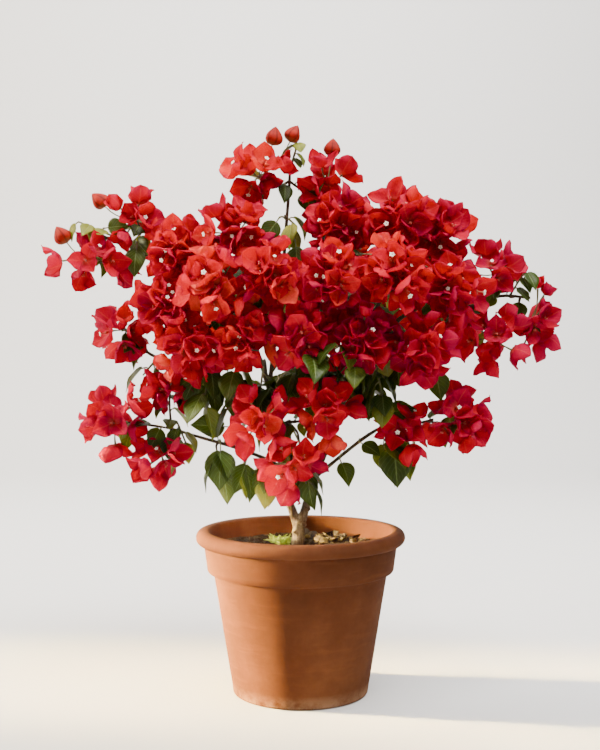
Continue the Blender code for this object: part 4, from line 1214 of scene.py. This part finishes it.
def make_head(name, parts, blanks, tree, material):
    """A head: its bracts as one piece, its tube flowers and stalks among those of the rest."""
    draw = seeded(f"dress {name}")
    middle = place(*HEADS[name][0])
    # the head's tint carries painted sunlight over a few spots of the crown
    warmth = tint_with_painted_sun(middle) + draw.uniform(-HEAD_STRAY, HEAD_STRAY)
    parts = {**parts, "bracts": Setting()}
    taken = []
    lift = BELL_LIFT if name in BELL_HEADS else LOOSE_LIFT if name in LOOSE_HEADS else 0.0
    for matrix, size, cup in blooms_of(name):
        set_bloom(parts, matrix, size, cup, draw, warmth, middle, lift)
        taken.append((matrix.to_translation() - middle).normalized())
    for matrix, size, cup in filler_blooms(name, taken, draw):
        set_bloom(parts, matrix, size, cup, draw, warmth, middle)
    if has_bud_row(name):
        for matrix, size, cup in half_open_blooms(name, draw):
            set_bloom(parts, matrix, size, cup, draw, HALF_OPEN_WARMTH, middle)
    show(f"{name}_bracts", parts["bracts"], tree, "bracts", name, Blanks=blanks, Material=material)


def set_buds(name, buds, stalks, draw):
    """The shut buds of a head, each on its own stalk."""
    middle = place(*HEADS[name][0])
    for spot in () if has_bud_row(name) else BUDS.get(name, ()):
        spot = place(*spot)
        rise = ((spot - middle).normalized() + Vector((0, 0, 0.5))).normalized()
        matrix = frame_along(rise, spot - rise * BUD_LENGTH * MM / 2, draw.uniform(0, ANY_TURN))
        size = BUD_LENGTH * MM * draw.uniform(1.06, 1.16)
        buds.put(matrix, (1.08 * size, 1.08 * size, size), draw.randrange(BUD_KINDS), draw.random())
        base = matrix.to_translation()
        bend = base - rise * 0.5 * (base - middle).length
        stalks.draw(bent_line(middle, base, bend, 5), [0.75] * 6)


# ---- leaves ----
UNDER_TWIGS = (                 # limb, end (x, y, z), leaves: in the shade in and under the crown
    ("left", (-2, -22, 362), 7), ("left", (-70, -22, 352), 7), ("left", (-30, -34, 346), 6),
    ("leader", (4, -30, 400), 6), ("right", (20, -26, 380), 7), ("right", (74, -22, 350), 7),
    ("right", (112, -26, 372), 6), ("right", (44, -30, 352), 6), ("mid_left", (-100, -26, 360), 6),
    ("left", (-14, 30, 366), 6), ("right", (70, 34, 360), 6), ("mid_left", (-130, 8, 366), 5),
    ("front_right", (6, -104, 378), 5), ("front_right", (36, -108, 392), 5),
    ("front_right", (56, -104, 366), 5), ("leader", (12, 26, 468), 7),
    ("leader", (-44, 24, 500), 6), ("leader", (6, -30, 476), 6), ("left", (-88, 18, 482), 7),
    ("right", (60, 10, 462), 7), ("right", (112, 14, 476), 7), ("back_right", (30, 40, 470), 6),
    ("back_left", (-24, 44, 466), 6),
)
SINGLE_LEAVES = (               # root (x, y, z), heading, length, limb: hung one by one
    ((91, -26, 320), (-1.0, -0.3, 0.25), 34, "low_right"),
    ((93, -26, 320), (1.0, -0.3, 0.15), 32, "low_right"),
    ((103, -30, 294), (0.1, -0.1, -1.0), 50, "low_right"),
    ((44, -14, 268), (0.45, -0.5, -1.0), 30, "low_right"),
    ((66, -16, 287), (0.9, -0.5, -0.5), 26, "low_right"),
    ((8, -44, 266), (0.05, -0.1, -1.0), 46, "front"),
    ((-38, -22, 262), (-0.15, -0.1, -1.0), 36, "low_left"),
    ((-78, -20, 304), (-1.0, -0.3, 0.05), 40, "low_left"),
    ((-90, -24, 288), (0.0, -0.1, -1.0), 48, "low_left"),
    ((-60, -20, 270), (-0.3, -0.1, -1.0), 38, "low_left"),
    ((-222, -12, 528), (1.0, -0.3, 0.1), 26, "arm_left"),
    ((-184, -16, 512), (-0.1, -0.1, -1.0), 34, "arm_left"),
    ((-6, -12, 514), (0.1, -0.1, -1.0), 38, "leader"),
    ((-24, -12, 540), (-0.6, -0.2, -0.9), 30, "leader"),
    ((-112, -40, 372), (-0.4, -0.1, -1.0), 36, "mid_left"),
    ((150, -26, 372), (0.2, -0.1, -1.0), 34, "right"),
)
YOUNG_LENGTH = 30               # a stem whose leaves are shorter is young
OLDER_SHOOT, OLDER = "shoot_arm_right", 0.4     # short leaves, and yet green
LIME_SHARE, GREEN, LIME = 0.24, (0.0, 0.6), (0.6, 0.95)         # tints of old and young leaves
TWIG_COUNT, TWIG_LEAF, UNDER_LEAF = 4, (20, 32), (28, 42)       # leaves and their lengths
TWIG_LEAF_HANG, TWIG_LEAF_TURN = (0.6, 1.8), 0.6        # as LEAF_HANG and LEAF_TURN
BACK_HEAD, BACK_TWIG = 30, 20   # how far back a head or twig turns its leaves to the back


def leaf_tint(draw, young=False):
    """0 for dark green, 1 for yellow-green, which all young leaves and a few others are."""
    return draw.uniform(*(LIME if young or draw.random() < LIME_SHARE else GREEN))


def hang_leaf(leaves, stalks, root, matrix, length, draw, tint):
    """One leaf and its stalk."""
    leaves.put(matrix, (length,) * 3, draw.randrange(LEAF_KINDS), tint)
    base = matrix.to_translation()
    ahead = matrix.to_3x3() @ Vector((1, 0, 0))
    bend = (root + base) / 2 - ahead * 0.12 * length
    stalks.draw(bent_line(root, base + ahead * 0.03 * length, bend, 5),
                (0.9, 0.9, 0.9, 0.8, 0.8, 0.8))


def leaves_along(route, count, sizes, at_back, leaves, stalks, draw):
    """Leaves spaced along a twig, turned to the front or the back."""
    start = draw.uniform(0, 2 * math.pi)
    light = Vector((0, TWIG_LEAF_TURN if at_back else -TWIG_LEAF_TURN, 0))
    for i in range(count):
        share = (i + 0.5) / count * (len(route) - 1)
        a, b = route[int(share)], route[int(share) + 1]
        root, ahead = a.lerp(b, share % 1), (b - a).normalized()
        size = draw.uniform(*sizes) * MM
        hang = draw.uniform(*TWIG_LEAF_HANG)
        matrix = leaf_matrix(root, ahead, start + i * GOLDEN, size, hang, light)
        hang_leaf(leaves, stalks, root, matrix, size, draw, leaf_tint(draw))


def twig_leaves(name, leaves, stalks, draw):
    """Leaves up the twig behind a head."""
    route, _ = head_twig(name)
    at_back = HEADS[name][0][1] > BACK_HEAD
    leaves_along(route, TWIG_COUNT, TWIG_LEAF, at_back, leaves, stalks, draw)


def under_twigs(leaves, stalks, draw):
    """The leafy twigs of UNDER_TWIGS."""
    for limb, end, count in UNDER_TWIGS:
        points, _ = limb_route(limb)
        end = place(*end)
        start = min(points, key=lambda p: (p - end).length - 0.5 * (end.z - p.z))
        route = bent_line(start, end, (start + end) / 2 + place(0, 0, 9), 8)
        stalks.draw(route, [1.6 - 0.09 * i for i in range(9)])
        leaves_along(route[2:], count, UNDER_LEAF, end.y > BACK_TWIG * MM, leaves, stalks, draw)


def single_leaves(leaves, stalks, draw):
    """The large leaves of SINGLE_LEAVES, facing the front."""
    for root, heading, length, limb in SINGLE_LEAVES:
        root, ahead = place(*root), Vector(heading).normalized()
        face = Vector((draw.uniform(-1.1, 0.7), -1, draw.uniform(0.0, 0.8)))
        face = (face - ahead * face.dot(ahead)).normalized()
        points, _ = limb_route(limb)
        start = min(points, key=lambda p: (p - root).length)
        stalks.draw(bent_line(start, root, (start + root) / 2 + place(0, 0, 5), 5), [1.2] * 6)
        matrix = (Matrix.Translation(root + ahead * PETIOLE_SHARE * length * MM)
                  @ axes(ahead, face.cross(ahead), face))
        hang_leaf(leaves, stalks, root, matrix, length * MM, draw, draw.uniform(0.1, 0.45))


def make_shoot(name, stalks, blanks, tree, material):
    """A leafy stem: its leaves as one piece, its stem among the stalks."""
    draw = seeded(f"dress {name}")
    leaves = Setting()
    foot, tip, _, leaf_length, _ = SHOOTS[name]
    foot, tip = place(*foot), place(*tip)
    age = OLDER if name == OLDER_SHOOT else 1.0
    stalks.draw([foot.lerp(tip, i / 4) for i in range(5)], (1.4, 1.3, 1.2, 1.1, 1.0))
    for root, matrix, length in leaves_of(name):
        tint = leaf_tint(draw, leaf_length < YOUNG_LENGTH) * age
        hang_leaf(leaves, stalks, root, matrix, length, draw, tint)
    show(f"{name}_leaves", leaves, tree, "leaves", name, Blanks=blanks, Material=material)


# ---- pot and soil ----
def turned(name, profile, segments):
    """Turn a closed profile (radius, height in mm) that starts and ends on the axis."""
    mesh = bpy.data.meshes.new(name)
    edges = [(i, i + 1) for i in range(len(profile) - 1)]
    mesh.from_pydata([place(r, 0, z) for r, z in profile], edges, [])
    obj = in_scene(name, mesh)
    screw = obj.modifiers.new("turn", "SCREW")
    screw.steps = screw.render_steps = segments
    screw.use_merge_vertices = True
    screw.merge_threshold = 0.01 * MM
    screw.use_smooth_shade = True
    return obj


def arc(centre_r, centre_z, radius, start, end, count):
    """Points of an arc of a profile, angles in degrees."""
    angles = [math.radians(start + (end - start) * i / count) for i in range(count + 1)]
    return [(centre_r + radius * math.cos(a), centre_z + radius * math.sin(a)) for a in angles]


def straight(a, b, count):
    """Points between a and b, without the first."""
    return [(a[0] + (b[0] - a[0]) * i / count, a[1] + (b[1] - a[1]) * i / count)
            for i in range(1, count + 1)]


def inner_radius(z):
    """Radius of the pot's inner wall at a height."""
    low = BASE_RADIUS - WALL
    return low + (MOUTH_RADIUS - low) * (z - FLOOR) / (LIP_TOP - 4.5 - FLOOR)


def pot_profile():
    """From the middle of the floor up the inner wall, over the lip and down to the base."""
    mouth, groove, edge = 3.4, 2.2, 2.8             # radii of the roundings
    profile = [(0.0, FLOOR), (inner_radius(FLOOR) - 6.0, FLOOR),
               (inner_radius(FLOOR + 2) - 1.6, FLOOR + 1.6)]
    profile += straight(profile[-1], (MOUTH_RADIUS, LIP_TOP - 5.0), 12)
    profile += arc(MOUTH_RADIUS + mouth, LIP_TOP - 3.6, mouth, 170, 100, 4)
    profile += arc(LIP_RADIUS - LIP_ROLL, LIP_TOP - LIP_ROLL, LIP_ROLL, 90, -62, 12)
    profile += arc(COLLAR_TOP_RADIUS + groove, LIP_TOP - 2 * LIP_ROLL - 0.6, groove, 150, 200, 3)
    profile += straight(profile[-1], (COLLAR_FOOT_RADIUS + 0.2, COLLAR_FOOT + 3.0), 8)
    profile += arc(COLLAR_FOOT_RADIUS - edge, COLLAR_FOOT + edge, edge, 0, -90, 4)
    profile += [(WALL_TOP_RADIUS + 0.8, COLLAR_FOOT - 0.4),
                (WALL_TOP_RADIUS - 0.2, COLLAR_FOOT - 2.0)]
    profile += straight(profile[-1], (BASE_RADIUS + 0.4, 3.0), 24)
    profile += arc(BASE_RADIUS - 2.4, edge, edge, 0, -90, 4)
    return [*profile, (0.0, 0.0)]


def cut_drain(pot, angle):
    """Cut a drainage hole in the pot's floor; gives the cutter, to be removed afterwards."""
    bm = bmesh.new()
    bmesh.ops.create_cone(bm, cap_ends=True, segments=32, depth=40 * MM,
                          radius1=DRAIN_RADIUS * MM, radius2=DRAIN_RADIUS * MM)
    spot = place(DRAIN_RING * math.cos(angle), DRAIN_RING * math.sin(angle), FLOOR / 2)
    bmesh.ops.translate(bm, verts=bm.verts, vec=spot)
    cutter = in_scene("drain", mesh_of(bm, "drain"))
    difference = pot.modifiers.new("drain", "BOOLEAN")
    difference.operation = "DIFFERENCE"
    difference.object = cutter
    difference.solver = "EXACT"
    return cutter


def painted(piece, material):
    """The piece in this material alone."""
    piece.data.materials.clear()
    piece.data.materials.append(material)
    return piece


def make_pot(material):
    """Thrown pot, a little out of true, with faint turning rings on its walls."""
    pot = turned("pot_clay", pot_profile(), 160)
    cutters = [cut_drain(pot, 2 * math.pi * (number + 0.5) / DRAIN_COUNT)
               for number in range(DRAIN_COUNT)]
    applied(pot)
    for cutter in cutters:
        bpy.data.objects.remove(cutter)
    for vertex in pot.data.vertices:
        co = vertex.co
        if co.z > 4 * MM:                               # the base stays flat
            radius = math.hypot(co.x, co.y)
            rings = 0.22 * noise.noise(Vector((0, 0, co.z / (5.5 * MM))))
            wide = Vector((co.x / 0.11, co.y / 0.11, co.z / 0.16))
            swell = 0.9 * noise.noise(wide + Vector((5, 2, 9)))
            push = (rings + swell - 0.5) * MM
            co.x *= 1 + push / max(radius, 1e-3)
            co.y *= 1 + push / max(radius, 1e-3)
    return painted(pot, material)


def soil_height(x, y):
    """Height of the soil's top (mm) at a point in mm."""
    mound = 0.6 * math.exp(-(math.hypot(x, y) / 25) ** 2)
    rough = noise.noise(Vector((x / 22, y / 22, SOIL_TOP / 22))) + mound
    fine = (0.5 * noise.noise(Vector((x / 6, y / 6, 3)))
            + 0.25 * noise.noise(Vector((x / 2.5, y / 2.5, 8))))
    return SOIL_TOP + SOIL_RELIEF * rough + 1.5 * fine


def make_soil(material):
    """Soil with an uneven, crumbly top."""
    rim = inner_radius(SOIL_TOP) - 0.9
    foot = FLOOR + 0.4
    profile = [*[(r / 60 * rim, SOIL_TOP) for r in range(61)],
               (inner_radius(foot + 6) - 1.2, foot + 6), (inner_radius(foot) - 7, foot),
               (0.0, foot)]
    soil = applied(turned("soil_mix", profile, 180))
    for vertex in soil.data.vertices:
        if vertex.co.z > (SOIL_TOP - 0.1) * MM:
            vertex.co.z = soil_height(vertex.co.x / MM, vertex.co.y / MM) * MM
    return painted(soil, material)


def soil_patch(inner, outer, start, end):
    """Sheet over part of the soil's top, for strewing: radii in mm, angles in degrees."""
    bm = bmesh.new()
    rings, spokes = 10, 48
    grid = []
    for i in range(rings + 1):
        radius = inner + (outer - inner) * i / rings
        row = []
        for j in range(spokes + 1):
            angle = math.radians(start + (end - start) * j / spokes)
            x, y = radius * math.cos(angle), radius * math.sin(angle)
            row.append(bm.verts.new(place(x, y, soil_height(x, y) + 0.2)))
        grid.append(row)
    for i in range(rings):
        for j in range(spokes):
            bm.faces.new((grid[i][j], grid[i + 1][j], grid[i + 1][j + 1], grid[i][j + 1]))
    return mesh_of(bm, "soil_patch")


WEED_AT, WEED_REACH = (-27, 6), ((-13, 11), (-10, 14))  # middle, and how far the sprigs stray
SPRIGS, SPRIG_LEAVES, SPRIG_LEAF = 9, 7, (9.0, 16.0)


def make_weed(blanks, tree, material):
    """Small rosettes of a weed beside the trunk."""
    draw = seeded("weed")
    leaves = Setting()
    up = Vector((0, 0, 1))
    for sprig in range(SPRIGS):
        x, y = [at + draw.uniform(*reach) for at, reach in zip(WEED_AT, WEED_REACH)]
        root = place(x, y, soil_height(x, y) - 0.3)
        for leaf_number in range(SPRIG_LEAVES):
            angle = leaf_number * GOLDEN + sprig
            rise = math.radians(20 + 8 * leaf_number)
            flat = math.cos(rise)
            ahead = Vector((math.cos(angle) * flat, math.sin(angle) * flat, math.sin(rise)))
            across = up.cross(ahead).normalized()
            size = draw.uniform(*SPRIG_LEAF) * MM
            spot = Matrix.Translation(root + ahead * 0.8 * MM)
            leaves.put(spot @ axes(ahead, across, ahead.cross(across)), (size, 0.8 * size, size),
                       draw.randrange(LEAF_KINDS), draw.uniform(0.85, 1.0))
    show("weed_tuft", leaves, tree, "leaves", Blanks=blanks, Material=material)


# ---- stage ----
CAMERA_AT, CAMERA_TILT = (0.0, -1.30, 0.3885), 88.83            # metres; degrees
LENS, SENSOR, SHIFT = 54.6, 36.0, -0.0008
FLOOR_SIDES, FLOOR_FRONT, WALL_AT, WALL_TOP, BEND = 8.0, -6.0, 3.4, 6.0, 1.2    # metres
LIGHTS = (          # name, from, to, width (m), watts, colour, spread (degrees)
    ("key_left", (-4.0, 0.32, 2.58), (0, 0, 0.32), 1.3, 500, (1.0, 0.86, 0.66), 180),
    ("pot_left", (-2.1, 0.30, 0.50), (0, 0, 0.06), 0.3, 10.5, (1.0, 0.72, 0.26), 8),
    ("mouth_front", (-0.10, -0.95, 0.44), (-0.06, 0.10, 0.172), 0.1, 0.14, (1.0, 0.86, 0.72), 9),
    ("crown_left", (-1.6, -1.2, 1.6), (-0.125, -0.05, 0.43), 0.2, 0.26, (1.0, 0.88, 0.72), 7),
    ("fill_front", (0.5, -2.1, 2.0), (0, 0, 0.48), 1.6, 11, (0.97, 0.98, 1.0), 180),
    ("crown_top", (0.45, -0.65, 2.1), (0.05, 0, 0.50), 1.0, 100, (1.0, 0.97, 0.94), 180),
    ("wall_wash", (0.0, 0.9, 2.6), (0, 3.4, 0.9), 2.5, 250, (0.97, 0.98, 1.0), 180),
)
AIR_COLOUR, AIR_STRENGTH = (0.86, 0.90, 1.0, 1.0), 0.15


def make_camera():
    camera = bpy.data.cameras.new("camera")
    camera.lens = LENS
    camera.sensor_fit = "VERTICAL"
    camera.sensor_height = SENSOR
    camera.shift_x = SHIFT
    obj = in_scene("camera", camera)
    obj.location = CAMERA_AT
    obj.rotation_euler = (math.radians(CAMERA_TILT), 0.0, 0.0)
    bpy.context.scene.camera = obj


def make_stage():
    """Pale floor that curves up into a pale wall far behind."""
    turn_at = WALL_AT - BEND
    profile = [(FLOOR_FRONT, 0.0), (turn_at, 0.0)]
    for step in range(1, 11):
        angle = math.radians(9 * step)
        profile.append((turn_at + BEND * math.sin(angle), BEND - BEND * math.cos(angle)))
    profile.append((WALL_AT, WALL_TOP))
    bm = bmesh.new()
    rows = [[bm.verts.new((x, y, z - 0.0005)) for x in (-FLOOR_SIDES, FLOOR_SIDES)]
            for y, z in profile]
    for a, b in zip(rows, rows[1:]):
        bm.faces.new((a[0], a[1], b[1], b[0]))
    bmesh.ops.recalc_face_normals(bm, faces=bm.faces)
    mesh = mesh_of(bm, "studio_floor")
    smooth(mesh)
    floor = in_scene("studio_floor", mesh)
    material, _, shader = new_material("studio_grey", 0.9)
    shader.inputs["Base Color"].default_value = (0.62, 0.61, 0.595, 1.0)
    mesh.materials.append(material)


def make_lights():
    """Low sun from the left, soft light from the front and above, and a pale sky."""
    for name, location, target, width, power, colour, spread in LIGHTS:
        light = bpy.data.lights.new(name, "AREA")
        light.size = width
        light.energy = power
        light.color = colour
        light.spread = math.radians(spread)
        obj = in_scene(name, light)
        obj.location = location
        aim = Vector(target) - Vector(location)
        obj.rotation_euler = aim.to_track_quat("-Z", "Y").to_euler()
    world = bpy.data.worlds.new("studio_air")
    bpy.context.scene.world = world
    world.use_nodes = True
    air = world.node_tree.nodes["Background"]
    air.inputs["Color"].default_value = AIR_COLOUR
    air.inputs["Strength"].default_value = AIR_STRENGTH


# ---- all together ----
STREWN = (          # name, patch (radii, angles), blanks, density, sizes (mm), tilt, seed
    ("soil_crumbs", (9, 96, 0.0, 360.0), "crumb", 60000.0, (1.4, 5.0), 1.2, 3),
    ("grit", (14, 94, -70, 100), "crumb", 9000.0, (1.4, 3.6), 1.2, 4),
    ("dry_leaf_scraps", (14, 92, -80, 95), "scrap", 11000.0, (8.0, 19.0), 0.7, 5),
)


def dress(piece, slot, *nodes):
    """Make a finished piece ride on the part, in place of the nodes named."""
    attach(piece, "root")
    if nodes:
        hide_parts(*nodes)
    return piece


def show(name, source, tree, slot, *nodes, **values):
    """Finish the piece that a geometry tree makes of a Setting's points or of Lines."""
    dress(run_tree(name, source.mesh(name), tree, **values), slot, *nodes)


def make_plant(blanks, setting, stalk_tree):
    """Heads, buds, leaves and stalks."""
    bract, leaf = make_bract_material(), make_leaf_material()
    flowers, stalks, buds, inner = Setting(), Lines(), Setting(), Setting()
    parts = {"flowers": flowers, "stalks": stalks}
    draw = seeded("buds")
    for name in HEADS:
        make_head(name, parts, blanks["bract"], setting, bract)
        set_buds(name, buds, stalks, draw)
        twig_leaves(name, inner, stalks, draw)
    under_twigs(inner, stalks, draw)
    single_leaves(inner, stalks, draw)
    for name in SHOOTS:
        make_shoot(name, stalks, blanks["leaf"], setting, leaf)
    show("tube_flowers", flowers, setting, "bracts", Blanks=blanks["flower"],
         Material=make_flower_material())
    show("closed_buds", buds, setting, "bracts", Blanks=blanks["bud"],
         Material=make_bud_material())
    show("twig_leaves", inner, setting, "leaves", Blanks=blanks["leaf"], Material=leaf)
    show("green_stalks", stalks, stalk_tree, "leaves", Sides=6, Material=make_stalk_material())


def main():
    make_camera()
    make_stage()
    make_lights()
    makers = {"bract": (make_bract, BRACT_KINDS), "leaf": (make_leaf, LEAF_KINDS),
              "flower": (make_flower, FLOWER_KINDS), "bud": (make_bud, BUD_KINDS),
              "crumb": (make_crumb, CRUMB_KINDS), "scrap": (make_scrap, SCRAP_KINDS)}
    blanks = {name: collection_of(f"{name}_blanks", *maker) for name, maker in makers.items()}
    setting, stalk_tree, strewing = make_setting_tree(), make_stalk_tree(), make_strewing_tree()
    soil, litter = make_soil_material(), make_litter_material()

    dress(make_pot(make_terracotta_material()), "terracotta", "pot")
    dress(make_soil(soil), "soil", "soil")
    dress(make_wood(stalk_tree, make_bark_tree(), make_bark_material()), "bark", "trunk")
    make_plant(blanks, setting, stalk_tree)
    for name, patch, blank, density, (smallest, largest), tilt, seed in STREWN:
        dress(run_tree(name, soil_patch(*patch), strewing, Blanks=blanks[blank], Density=density,
                       Smallest=smallest * MM, Largest=largest * MM, Tilt=tilt, Seed=seed,
                       Material=soil if name == "soil_crumbs" else litter), "soil")
    make_weed(blanks["leaf"], setting, make_weed_material())


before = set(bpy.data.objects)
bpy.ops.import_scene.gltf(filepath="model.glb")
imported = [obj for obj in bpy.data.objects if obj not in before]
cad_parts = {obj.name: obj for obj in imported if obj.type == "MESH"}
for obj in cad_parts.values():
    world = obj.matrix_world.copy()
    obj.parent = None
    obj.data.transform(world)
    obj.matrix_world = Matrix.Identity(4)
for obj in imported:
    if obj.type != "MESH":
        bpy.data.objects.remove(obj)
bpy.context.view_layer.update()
main()
